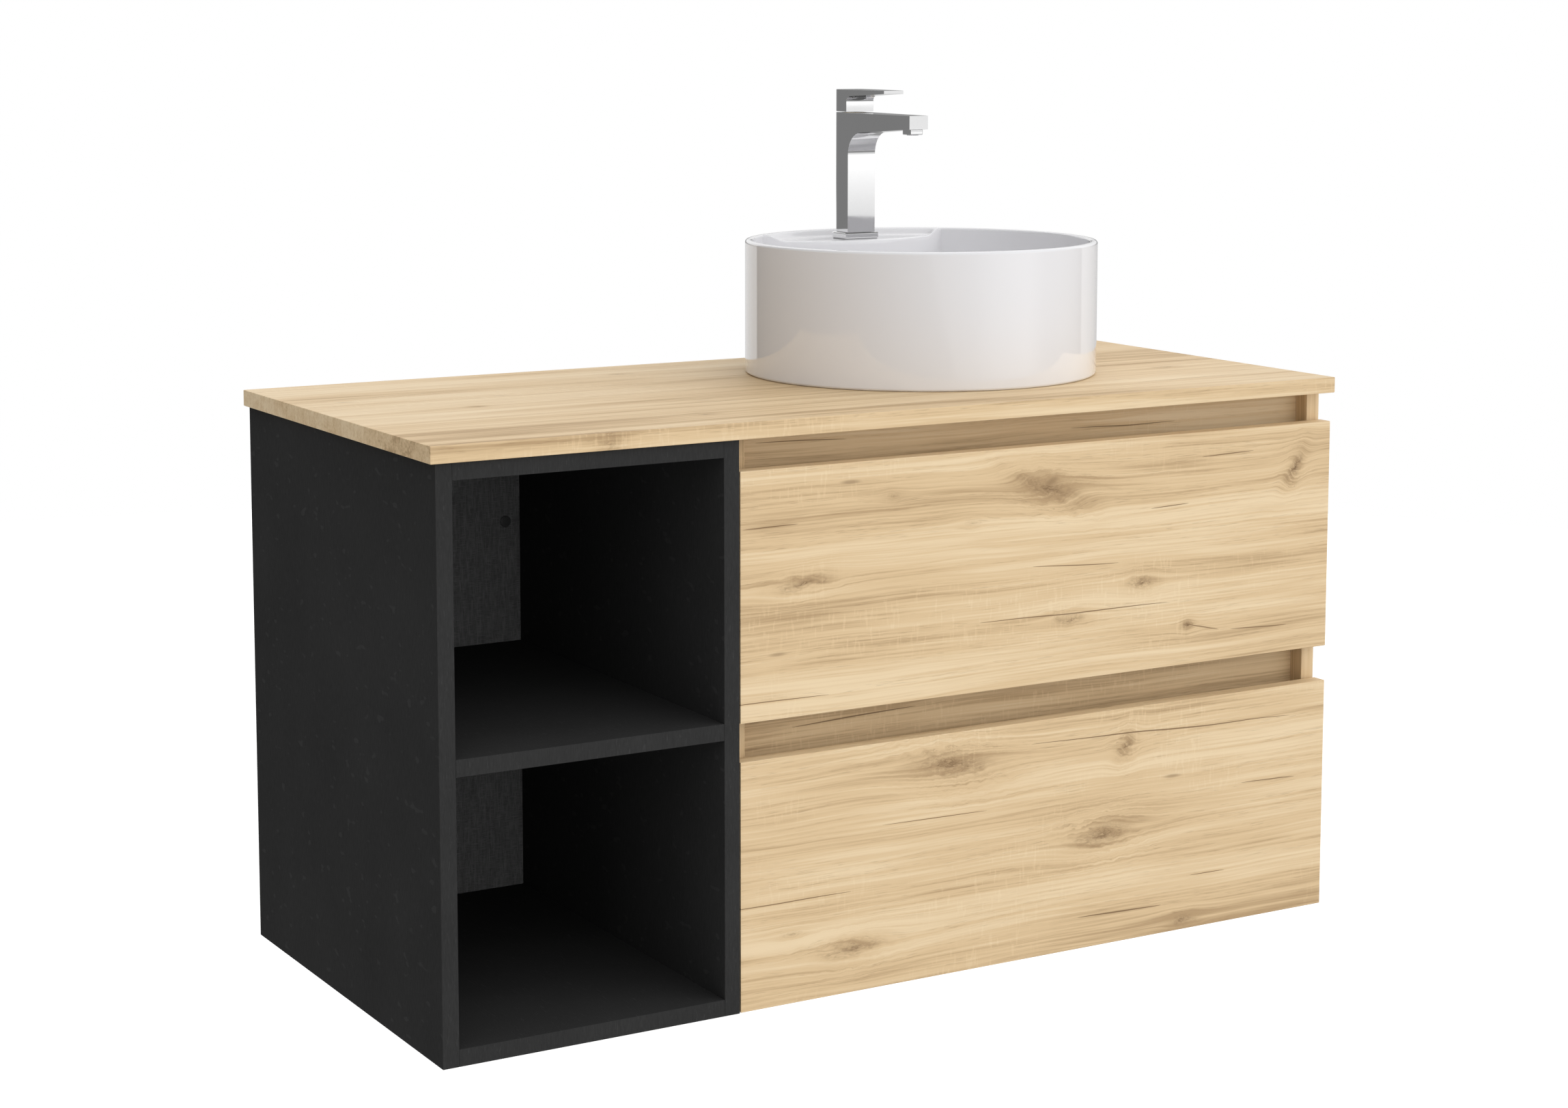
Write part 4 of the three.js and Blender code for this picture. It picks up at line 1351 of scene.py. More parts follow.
@dataclass
class Hanging:
    """The wall rails and the brackets that hook over them."""

    bench: Bench
    plate: float = 3 * MM
    reach: float = 10 * MM
    half: float = 20 * MM
    lip_top: float = 30 * MM
    finger: Point2 = (-6.5 * MM, -3.5 * MM)
    arm_bottom: float = 34 * MM
    finger_bottom: float = 21 * MM

    def build(self) -> None:
        """Makes rails, brackets and their screws."""
        for unit in ("shelf", "cabinet"):
            self.rail(f"{unit}_wall_rail")
            for side in ("left", "right"):
                self.bracket(f"{unit}_bracket_{side}")

    def rail(self, node: str) -> None:
        """Makes one rail and its wall screws.

        Args:
            node: the frame node that it stands for.
        """
        low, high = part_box(node)
        p, h, r = self.plate, self.half, self.reach
        outline = [(0, -h), (0, h), (p - r, h), (p - r, self.lip_top), (-r, self.lip_top), (-r, h - p),
                   (-p, h - p),
                   (-p, -h)]
        bm = bmesh.new()
        add_prism(bm, outline, along_x(low.x), high.x - low.x)
        self.bench.piece(f"{node}_strip", bm, ZINC, "washstand", [node], 0.5 * MM)
        screws = bmesh.new()
        for share in (0.12, 0.5, 0.88):
            add_screw(screws, (low.x + share * (high.x - low.x), -p, -4 * MM), ROOM, 5 * MM)
        self.bench.piece(f"{node}_screws", screws, ZINC, "washstand")

    def bracket(self, node: str) -> None:
        """Makes one bracket with its adjusting screws.

        Args:
            node: the frame node that it stands for.
        """
        low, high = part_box(node)
        back = -12 * MM if node.startswith("cabinet") else -10.5 * MM
        outline = [(low.y, low.z), (back, low.z), (back, self.arm_bottom),
                   (self.finger[0], self.arm_bottom),
                   (self.finger[0], self.finger_bottom), (self.finger[1], self.finger_bottom),
                   (self.finger[1], high.z), (low.y, high.z)]
        bm = bmesh.new()
        add_prism(bm, outline, along_x(low.x), high.x - low.x)
        self.bench.piece(f"{node}_hook", bm, ZINC, "washstand", [node], 0.4 * MM)
        screws = bmesh.new()
        middle = (low.x + high.x) / 2
        if node.startswith("cabinet"):
            for z in (low.z + 10 * MM, high.z - 10 * MM):
                add_screw(screws, (middle, low.y, z), ROOM, 4.5 * MM)
        else:
            for z in (low.z + 14 * MM, low.z + 60 * MM, low.z + 92 * MM):
                add_screw(screws, (middle, back, z), -ROOM, 3 * MM)
        self.bench.piece(f"{node}_screws", screws, ZINC, "washstand")


@dataclass
class VesselBasin:
    """The round glazed basin with its bowl and the raised tap ledge across the back."""

    bench: Bench
    centre: Point2 = (164.5 * MM, -200 * MM)
    drain: Point2 = (164.5 * MM, -232 * MM)
    radius: float = 183 * MM
    wall: float = 8 * MM
    bottom: float = 70 * MM
    top: float = 208 * MM
    floor: float = 88 * MM
    fall: float = 3.5 * MM
    outer_edge: float = 3 * MM
    inner_edge: float = 2.6 * MM
    foot: float = 26 * MM
    ledge_drop: float = 7 * MM
    ledge_offset: float = 100 * MM
    ledge_chord: float = 109.2 * MM
    ledge_softness: float = 2 * MM
    corner: float = 30 * MM
    rise: tuple[float, float] = (2 * MM, 26 * MM)
    step_start: float = 1.5 * MM
    step_run: float = 8 * MM
    recess: float = 33 * MM
    hole: float = 22 * MM

    def __post_init__(self) -> None:
        """Works out the ledge's front arc."""
        self.inner = self.radius - self.wall
        end = math.sqrt(self.inner**2 - self.ledge_chord**2)
        sag = end - self.ledge_offset
        self.arc_radius = (self.ledge_chord**2 + sag**2) / (2 * sag)
        self.arc_centre = self.ledge_offset + self.arc_radius
        self.end_turn = math.atan2(self.ledge_chord, end)

    def bowl_radius(self, turn: float) -> float:
        """How far the bowl's wall stands from the basin's middle.

        Args:
            turn: the angle from the back, in radians.

        Returns:
            The distance, with the corner beside the ledge rounded.
        """
        inside = self.arc_radius**2 - (self.arc_centre * math.sin(turn)) ** 2
        if math.cos(turn) <= 0 or inside <= 0:
            return self.inner
        front = self.arc_centre * math.cos(turn) - math.sqrt(inside)
        overlap = max(self.corner - abs(front - self.inner), 0.0) / self.corner
        return min(front, self.inner) - overlap**2 * self.corner / 4

    def turns(self) -> list[float]:
        """Angles from the back all the way round, closer together at the ledge's ends."""
        near = math.radians(15)
        fine = 80
        spans = [(-self.end_turn + near, self.end_turn - near, 48),
                 (self.end_turn - near, self.end_turn + near, fine),
                 (self.end_turn + near, 2 * math.pi - self.end_turn - near, 150),
                 (2 * math.pi - self.end_turn - near, 2 * math.pi - self.end_turn + near, fine)]
        return [a + (b - a) * k / n for a, b, n in spans for k in range(n)]

    def section(self, turn: float) -> list[tuple[float, float, float]]:
        """One cut through the basin from its outer foot to the drain.

        Args:
            turn: the angle from the back.

        Returns:
            Distance from the middle, height, and how far each point belongs to the drain's circle.
        """
        bowl = self.bowl_radius(turn)
        width = self.inner - bowl
        share = min(max((width - self.rise[0]) / (self.rise[1] - self.rise[0]), 0.0), 1.0)
        share = share * share * (3 - 2 * share)
        drop = self.ledge_drop * share
        e, o = self.inner_edge, self.outer_edge
        points = [(self.recess + 8 * MM, self.bottom, 1.0), (self.radius - o - 14 * MM, self.bottom, 0.0)]
        points += [(r, z, 0.0) for r, z in arc((self.radius - o, self.bottom + o), o, -90, 0, 4)]
        points += [(self.radius, (self.bottom + self.top) / 2, 0.0)]
        points += [(r, z, 0.0) for r, z in arc((self.radius - o, self.top - o), o, 0, 90, 5)]
        # Rim to ledge: a soft step down, then level to the ledge's rounded front edge
        e += self.ledge_softness * share
        start, end = self.radius - o, bowl + e
        reach = min(start - end, start - self.inner + self.step_run)
        for k in range(1, 13):
            r = start - reach * k / 12
            step = min(max((self.inner + self.step_start - r) / self.step_run, 0.0), 1.0)
            level = self.top - drop * step * step * (3 - 2 * step)
            points.append((r, level, 0.0))
        points.append(((start - reach + end) / 2 - 0.01 * MM, level, 0.0))
        points += [(r, z, 0.0) for r, z in arc((bowl + e, level - e), -e, -90, 0, 6)]
        # Bowl wall, round foot and floor
        base = self.floor + self.fall
        points += [(bowl, level - e - (level - e - base - self.foot) * k / 3, 0.0) for k in (1, 2)]
        points += [(r, z, 0.0) for r, z in arc((bowl - self.foot, base + self.foot), self.foot, 0, -90, 10)]
        edge = bowl - self.foot
        for k in range(1, 9):
            t = k / 8
            points.append((edge + (self.recess + 0.8 * MM - edge) * t,
                           base - self.fall * (t * t * (3 - 2 * t)), t))
        points += [(self.recess, self.floor - 0.8 * MM, 1.0), (self.recess, self.floor - 2 * MM, 1.0),
                   (self.hole, self.floor - 2 * MM, 1.0), (self.hole, self.bottom, 1.0)]
        return points

    def build(self) -> None:
        """Makes the basin as rings of the same cut, turned all the way round."""
        bm = bmesh.new()
        columns = []
        for turn in self.turns():
            out = (math.sin(turn), math.cos(turn))
            column = []
            for r, z, share in self.section(turn):
                x = self.centre[0] + (self.drain[0] - self.centre[0]) * share + out[0] * r
                y = self.centre[1] + (self.drain[1] - self.centre[1]) * share + out[1] * r
                column.append(bm.verts.new((x, y, z)))
            columns.append(column)
        for k, column in enumerate(columns):
            following = columns[(k + 1) % len(columns)]
            for j in range(len(column)):
                n = (j + 1) % len(column)
                bm.faces.new((column[j], following[j], following[n], column[n]))
        self.bench.piece("vessel_basin", bm, GLAZE, "washstand", ["basin"])


@dataclass
class Waste:
    """The push-button waste: flange, threaded tube, lock nut and plug."""

    bench: Bench
    centre: Point2 = (164.5 * MM, -232 * MM)
    flange: float = 32 * MM
    tube: float = 21 * MM
    bore: float = 18 * MM
    pitch: float = 2 * MM

    def build(self) -> None:
        """Makes the body, plug and nut."""
        place = Matrix.Translation((*self.centre, 0))
        low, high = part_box("waste_body")
        seat = high.z - 2 * MM
        profile = [(self.bore, low.z), (self.tube - 0.5 * MM, low.z)]
        turns = int((seat - low.z - 8 * MM) / self.pitch)
        for k in range(turns):
            z = low.z + 1 * MM + k * self.pitch
            profile += [(self.tube - 0.6 * MM, z), (self.tube, z + 0.5 * self.pitch)]
        profile += [(self.tube - 0.6 * MM, seat - 6 * MM), (self.tube, seat - 5 * MM), (self.tube, seat),
                    (self.flange, seat), (self.flange, seat + 0.8 * MM), (self.flange - 1.4 * MM, high.z),
                    (self.bore + 1 * MM, high.z), (self.bore, high.z - 1 * MM)]
        bm = bmesh.new()
        add_turned(bm, profile, place, 64)
        for turn in range(4):
            spoke = place @ Matrix.Rotation(turn * math.pi / 2, 4, "Z")
            outline = [(4.5 * MM, -1.5 * MM), (self.bore + 0.5 * MM, -1.5 * MM),
                       (self.bore + 0.5 * MM, 1.5 * MM),
                       (4.5 * MM, 1.5 * MM)]
            add_prism(bm, outline, spoke @ Matrix.Translation((0, 0, 60 * MM)), 6 * MM)
        self.bench.piece("waste_flange_and_tube", bm, CHROME, "washstand", ["waste_body"])
        self.plug(place)
        self.nut(place)

    def plug(self, place: Matrix) -> None:
        """Makes the domed plug and its stem.

        Args:
            place: the waste's axis.
        """
        low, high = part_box("waste_plug")
        radius, stem = 30 * MM, 4 * MM
        under = high.z - 4.6 * MM
        crown = [(radius * math.cos(math.radians(a)),
        high.z - 1.7 * MM + 1.7 * MM * math.sin(math.radians(a)))
                 for a in (20, 40, 60, 75)]
        profile = [(0, low.z), (stem, low.z), (stem, under), (radius - 2 * MM, under),
                   (radius, under + 1 * MM),
                   (radius, under + 2.4 * MM), *crown, (0, high.z)]
        bm = bmesh.new()
        add_turned(bm, profile, place, 64, closed=False)
        self.bench.piece("waste_button", bm, CHROME, "waste_plug", ["waste_plug"])

    def nut(self, place: Matrix) -> None:
        """Makes the lock nut with finger ribs.

        Args:
            place: the waste's axis.
        """
        low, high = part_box("waste_nut")
        outer, inner = 30 * MM, self.tube + 0.3 * MM
        profile = [(inner, low.z), (outer - 1 * MM, low.z), (outer, low.z + 1 * MM),
                   (outer, high.z - 1 * MM),
                   (outer - 1 * MM, high.z), (inner, high.z)]
        bm = bmesh.new()
        add_turned(bm, profile, place, 48)
        for k in range(8):
            rib = place @ Matrix.Rotation(k * math.pi / 4, 4, "Z") @ Matrix.Translation((0, 0, low.z))
            outline = [(outer - 0.5 * MM, -2 * MM), (32 * MM, -1.2 * MM), (32 * MM, 1.2 * MM),
                       (outer - 0.5 * MM, 2 * MM)]
            add_prism(bm, outline, rib, high.z - low.z)
        self.bench.piece("waste_lock_nut", bm, BRASS, "washstand", ["waste_nut"])


@dataclass
class BottleTrap:
    """The bottle trap under the basin, its outlet pipe and the wall flange."""

    bench: Bench
    centre: Point2 = (164.5 * MM, -232 * MM)
    pipe: float = 16 * MM
    bottle: float = 31 * MM
    outlet: float = -62 * MM
    ribs: int = 20

    def build(self) -> None:
        """Makes the bottle, cup, pipe and flange."""
        place = Matrix.Translation((*self.centre, 0))
        self.shell(place)
        self.cup(place)
        self.pipe_run()

    def shell(self, place: Matrix) -> None:
        """Makes the collar, neck, bottle and dip tube.

        Args:
            place: the trap's axis.
        """
        p, b = self.pipe, self.bottle
        collar = 21.3 * MM
        profile = [(collar, 28 * MM), (collar + 4 * MM, 28 * MM), (collar + 5 * MM, 27 * MM),
                   (collar + 5 * MM, 8 * MM),
                   (collar + 3 * MM, 5 * MM), (p + 3 * MM, -1 * MM), (p + 2 * MM, -4 * MM),
                   (p + 2 * MM, -14 * MM),
                   (p + 4 * MM, -17 * MM), (b - 5 * MM, -20 * MM), (b - 1.5 * MM, -21.5 * MM),
                   (b, -25 * MM),
                   (b, -88 * MM), (b - 3 * MM, -88 * MM), (b - 3 * MM, -26 * MM), (b - 6 * MM, -24 * MM),
                   (p + 2 * MM, -24 * MM), (p + 2 * MM, -118 * MM), (p, -118 * MM), (p, 10 * MM),
                   (collar, 12 * MM)]
        bm = bmesh.new()
        add_turned(bm, profile, place, 64)
        self.grips(bm, place, collar + 5 * MM, 9 * MM, 17 * MM)
        start = self.centre[1] + b - 4 * MM
        across = turned_to(-ROOM, (self.centre[0], start, self.outlet))
        socket = [(p + 0.4 * MM, 0), (p + 4 * MM, 0), (p + 4 * MM, 14 * MM), (p + 5 * MM, 15 * MM),
                  (p + 5 * MM, 23 * MM), (p + 4 * MM, 24 * MM), (p + 0.4 * MM, 24 * MM)]
        add_turned(bm, socket, across, 48)
        self.bench.piece("trap_bottle", bm, WHITE_PLASTIC, "washstand", ["trap_body"])

    def grips(self, bm: bmesh.types.BMesh, place: Matrix, radius: float, low: float, height: float) -> None:
        """Adds finger ribs round a collar.

        Args:
            bm: the mesh that takes them.
            place: the collar's axis.
            radius: the collar's radius.
            low: where the ribs start.
            height: how tall they are.
        """
        outline = [(radius - 0.6 * MM, -1.4 * MM), (radius + 1 * MM, -0.7 * MM),
                   (radius + 1 * MM, 0.7 * MM),
                   (radius - 0.6 * MM, 1.4 * MM)]
        for k in range(self.ribs):
            turn = place @ Matrix.Rotation(2 * math.pi * k / self.ribs, 4, "Z")
            add_prism(bm, outline, turn @ Matrix.Translation((0, 0, low)), height)

    def cup(self, place: Matrix) -> None:
        """Makes the screw-on cup.

        Args:
            place: the trap's axis.
        """
        low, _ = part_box("trap_cup")
        c = 32.5 * MM
        profile = [(0, low.z), (c - 14 * MM, low.z), (c - 5 * MM, low.z + 2.5 * MM),
                   (c - 1 * MM, low.z + 9 * MM),
                   (c - 0.5 * MM, -101 * MM), (c, -99 * MM), (c, -87 * MM), (c - 0.6 * MM, -86 * MM),
                   (self.bottle + 0.3 * MM, -86 * MM), (self.bottle + 0.3 * MM, -98 * MM),
                   (self.bottle - 3 * MM, -98 * MM), (self.bottle - 3 * MM, low.z + 9 * MM),
                   (c - 10 * MM, low.z + 3 * MM), (0, low.z + 3 * MM)]
        bm = bmesh.new()
        add_turned(bm, profile, place, 64, closed=False)
        self.grips(bm, place, c, -99 * MM, 12 * MM)
        self.bench.piece("trap_screw_cup", bm, WHITE_PLASTIC, "washstand", ["trap_cup"])

    def pipe_run(self) -> None:
        """Makes the outlet pipe and the domed wall flange."""
        low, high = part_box("trap_outlet_pipe")
        length = high.y - low.y
        across = turned_to(-ROOM, (self.centre[0], low.y, self.outlet))
        bm = bmesh.new()
        add_turned(bm, [(14 * MM, 0), (self.pipe - 0.5 * MM, 0), (self.pipe, 0.5 * MM), (self.pipe, length),
                        (14 * MM, length)], across, 48)
        self.bench.piece("trap_outlet_tube", bm, WHITE_PLASTIC, "washstand", ["trap_outlet_pipe"])
        low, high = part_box("trap_wall_flange")
        depth = high.y - low.y
        rim = (high.x - low.x) / 2
        across = turned_to(-ROOM, (self.centre[0], low.y, self.outlet))
        collar = self.pipe + 0.3 * MM
        bm = bmesh.new()
        add_turned(bm, [(collar, 0), (collar + 4 * MM, 0), (collar + 8 * MM, 0.3 * depth),
                        (rim - 2 * MM, 0.72 * depth),
                        (rim, depth), (collar, depth)], across, 64)
        self.bench.piece("trap_wall_rosette", bm, WHITE_PLASTIC, "washstand", ["trap_wall_flange"])


def drill_hole(bm: bmesh.types.BMesh, centre: tuple[float, float], radius: float, low: float, high: float,
               segments: int = 40) -> None:
    """Cuts an upright round hole into a closed mesh.

    Args:
        bm: the mesh, which is changed.
        centre: the hole's X and Y.
        radius: its radius.
        low: the height of its floor.
        high: a height past its mouth.
        segments: its facets.
    """
    drill = bmesh.new()
    add_turned(drill, [(0, low), (radius, low), (radius, high), (0, high)],
               Matrix.Translation((*centre, 0)), segments, closed=False)
    bmesh.ops.remove_doubles(drill, verts=drill.verts[:], dist=1e-6)
    bmesh.ops.recalc_face_normals(drill, faces=drill.faces[:])
    bmesh.ops.recalc_face_normals(bm, faces=bm.faces[:])
    held = []
    for name, shape in (("blank", bm), ("drill", drill)):
        mesh = bpy.data.meshes.new(name)
        shape.to_mesh(mesh)
        held.append(bpy.data.objects.new(name, mesh))
        bpy.context.scene.collection.objects.link(held[-1])
    drill.free()
    cut = held[0].modifiers.new("cut", "BOOLEAN")
    cut.operation = "DIFFERENCE"
    cut.solver = "EXACT"
    cut.object = held[1]
    made = held[0].evaluated_get(bpy.context.evaluated_depsgraph_get())
    bm.clear()
    bm.from_mesh(made.to_mesh())
    made.to_mesh_clear()
    for each in held:
        mesh = each.data
        bpy.data.objects.remove(each)
        bpy.data.meshes.remove(mesh)


@dataclass
class Mixer:
    """The square single-lever mixer: plate, body with spout, aerator, handle and what holds it down."""

    bench: Bench
    x: float = 164.5 * MM
    axis_y: float = -67 * MM
    front: float = -82 * MM
    back: float = -52 * MM
    half: float = 17 * MM
    corner: float = 8 * MM
    base: float = 208 * MM
    top: float = 336 * MM
    spout_tip: float = -194.6 * MM
    tip_half: float = 11.35 * MM
    tip_depth: float = 14 * MM
    under_rise: float = 7.5 * MM
    fillet: float = 24 * MM
    edge: float = 1.5 * MM
    spindle_gap: float = 0.5 * MM
    socket_radius: float = 13.4 * MM

    def build(self) -> None:
        """Makes every piece of the mixer."""
        self.plate()
        self.body()
        self.aerator()
        self.handle()
        self.inside()
        self.fixing()

    def half_width(self, front: float, tip: float, tip_half: float) -> Callable[[float], float]:
        """The half width of a block with rounded back corners that narrows to a tip.

        Args:
            front: where it starts to narrow.
            tip: its tip.
            tip_half: half its width there.

        Returns:
            The half width as a function of Y.
        """
        def width(y: float) -> float:
            """Half width at y."""
            past = y - (self.back - self.corner)
            if past > 0:
                return self.half - self.corner + math.sqrt(max(self.corner**2 - past**2, 0.0))
            if y >= front:
                return self.half
            return self.half + (tip_half - self.half) * (front - y) / (front - tip)
        return width

    def breaks(self, front: float) -> list[float]:
        """The Y values where the plan bends: round the back corners, and at the front."""
        steps = 7
        corner = [self.back - self.corner * (1 - math.sin(math.pi / 2 * k / steps)) for k in range(steps)]
        return corner + [front]

    def plate(self) -> None:
        """Makes the base plate."""
        low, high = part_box("mixer_base_plate")
        r = self.corner + 4 * MM
        outline = [(low.x, low.y), (high.x, low.y), *arc((high.x - r, high.y - r), r, 0, 90, 10),
                   *arc((low.x + r, high.y - r), r, 90, 180, 10)]
        bm = bmesh.new()
        add_prism(bm, outline, Matrix.Translation((0, 0, low.z)), high.z - low.z)
        self.bench.piece("mixer_foot_plate", bm, CHROME, "washstand", ["mixer_base_plate"], self.edge, 3)

    def under(self, y: float) -> float:
        """The height of the spout's underside at y."""
        tip_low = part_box("mixer_body")[1].z - 0.6 * MM - self.tip_depth
        return tip_low - self.under_rise * (y - self.spout_tip) / (self.front - self.spout_tip)

    def body(self) -> None:
        """Makes the body with its spout."""
        centre_y = self.front - self.fillet
        slope = math.degrees(math.atan2(self.under_rise, self.front - self.spout_tip))
        centre_z = self.under(centre_y) - self.fillet / math.cos(math.radians(slope))
        tip_top = self.top - 0.6 * MM
        start = self.base + 0.12 * MM
        outline = [(self.back, start), (self.back, self.top), (self.spout_tip, tip_top),
                   (self.spout_tip, tip_top - self.tip_depth),
                   *arc((centre_y, centre_z), self.fillet, 90 - slope, 0, 12), (self.front, start)]
        bm = bmesh.new()
        sheer_solid(bm, outline, self.half_width(self.front, self.spout_tip, self.tip_half),
                    self.breaks(self.front), self.x)
        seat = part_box("mixer_cartridge")[0].z - self.spindle_gap
        mouth = self.top + 5 * MM
        drill_hole(bm, (self.x, self.axis_y), self.socket_radius, seat, mouth)
        self.bench.piece("mixer_body_and_spout", bm, CHROME, "washstand", ["mixer_body"], self.edge, 3)

    def aerator(self) -> None:
        """Makes the square nozzle and the jet insert in it."""
        low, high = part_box("mixer_aerator")
        bm = bmesh.new()
        add_box(bm, low, (high.x, high.y, high.z + 0.5 * MM))
        self.bench.piece("mixer_nozzle", bm, CHROME, "washstand", ["mixer_aerator"], 0.7 * MM, 3)
        profile = [(0, 0)]
        for k in range(4):
            r = (0.8 + 1.5 * k) * MM
            profile += [(r, 0), (r, 0.5 * MM), (r + 0.7 * MM, 0.5 * MM), (r + 0.7 * MM, 0)]
        profile += [(6.2 * MM, 0), (6.2 * MM, -0.6 * MM), (0, -0.6 * MM)]
        insert = bmesh.new()
        middle = (low + high) / 2
        add_turned(insert, profile, turned_to(-UP, (middle.x, middle.y, low.z - 0.05 * MM)), 32,
                   closed=False)
        self.bench.piece("mixer_jet_insert", insert, GREY_PLASTIC, "washstand")

    def handle(self) -> None:
        """Makes the handle block and its lever."""
        low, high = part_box("mixer_lever")
        bottom = self.top + 1 * MM
        front, tip = -78.4 * MM, low.y
        root, radius = high.z - 7 * MM, 6 * MM
        outline = [(self.back - 5.5 * MM, bottom), (self.back, bottom + 3.7 * MM), (self.back, high.z),
                   (tip, high.z), (tip, high.z - 3.5 * MM),
                   *arc((front - radius, root - radius), radius, 90, 0, 8), (front, bottom)]
        bm = bmesh.new()
        sheer_solid(bm, outline, self.half_width(front, tip, 12 * MM), self.breaks(front), self.x)
        self.bench.piece("mixer_handle", bm, CHROME, "mixer_lever", ["mixer_lever"], self.edge, 3)

    def inside(self) -> None:
        """Makes the cartridge and the turning spindle over it."""
        place = Matrix.Translation((self.x, self.axis_y, 0))
        low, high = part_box("mixer_cartridge")
        r = (high.x - low.x) / 2
        bm = bmesh.new()
        add_turned(bm, [(0, low.z), (r - 1 * MM, low.z), (r, low.z + 1 * MM), (r, low.z + 9 * MM),
                        (r - 1.2 * MM, low.z + 10 * MM), (r - 1.2 * MM, low.z + 12 * MM),
                        (r, low.z + 13 * MM),
                        (r, high.z - 1 * MM), (r - 1 * MM, high.z), (0, high.z)], place, 48, closed=False)
        self.bench.piece("mixer_ceramic_cartridge", bm, GREY_PLASTIC, "washstand", ["mixer_cartridge"])
        low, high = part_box("mixer_spindle")
        r, crown = (high.x - low.x) / 2, self.top - self.spindle_gap
        bm = bmesh.new()
        add_turned(bm, [(0, low.z), (r, low.z), (r, crown - 1 * MM), (r - 1 * MM, crown), (0, crown)],
                   place, 48,
                   closed=False)
        self.bench.piece("mixer_turning_spindle", bm, BRASS, "mixer_spindle", ["mixer_spindle"], 0.3 * MM)

    def fixing(self) -> None:
        """Makes the threaded shank and the nut that clamps it under the ledge."""
        place = Matrix.Translation((self.x, self.axis_y, 0))
        low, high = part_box("mixer_shank")
        outer, bore, pitch = 14 * MM, 10 * MM, 1.5 * MM
        profile = [(bore, low.z), (outer - 1 * MM, low.z)]
        turns = int((192 * MM - low.z) / pitch)
        for k in range(turns):
            z = low.z + 0.6 * MM + k * pitch
            profile += [(outer - 0.8 * MM, z), (outer, z + 0.5 * pitch)]
        profile += [(outer, high.z), (bore, high.z)]
        bm = bmesh.new()
        add_turned(bm, profile, place, 48)
        self.bench.piece("mixer_threaded_shank", bm, BRASS, "washstand", ["mixer_shank"])
        low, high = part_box("mixer_fixing_nut")
        across = 18 * MM
        bm = bmesh.new()
        hexagon = circle((self.x, self.axis_y), across, 6)
        add_plate(bm, [hexagon, circle((self.x, self.axis_y), outer + 0.3 * MM)], low.z, high.z)
        self.bench.piece("mixer_clamp_nut", bm, BRASS, "washstand", ["mixer_fixing_nut"], 0.4 * MM)


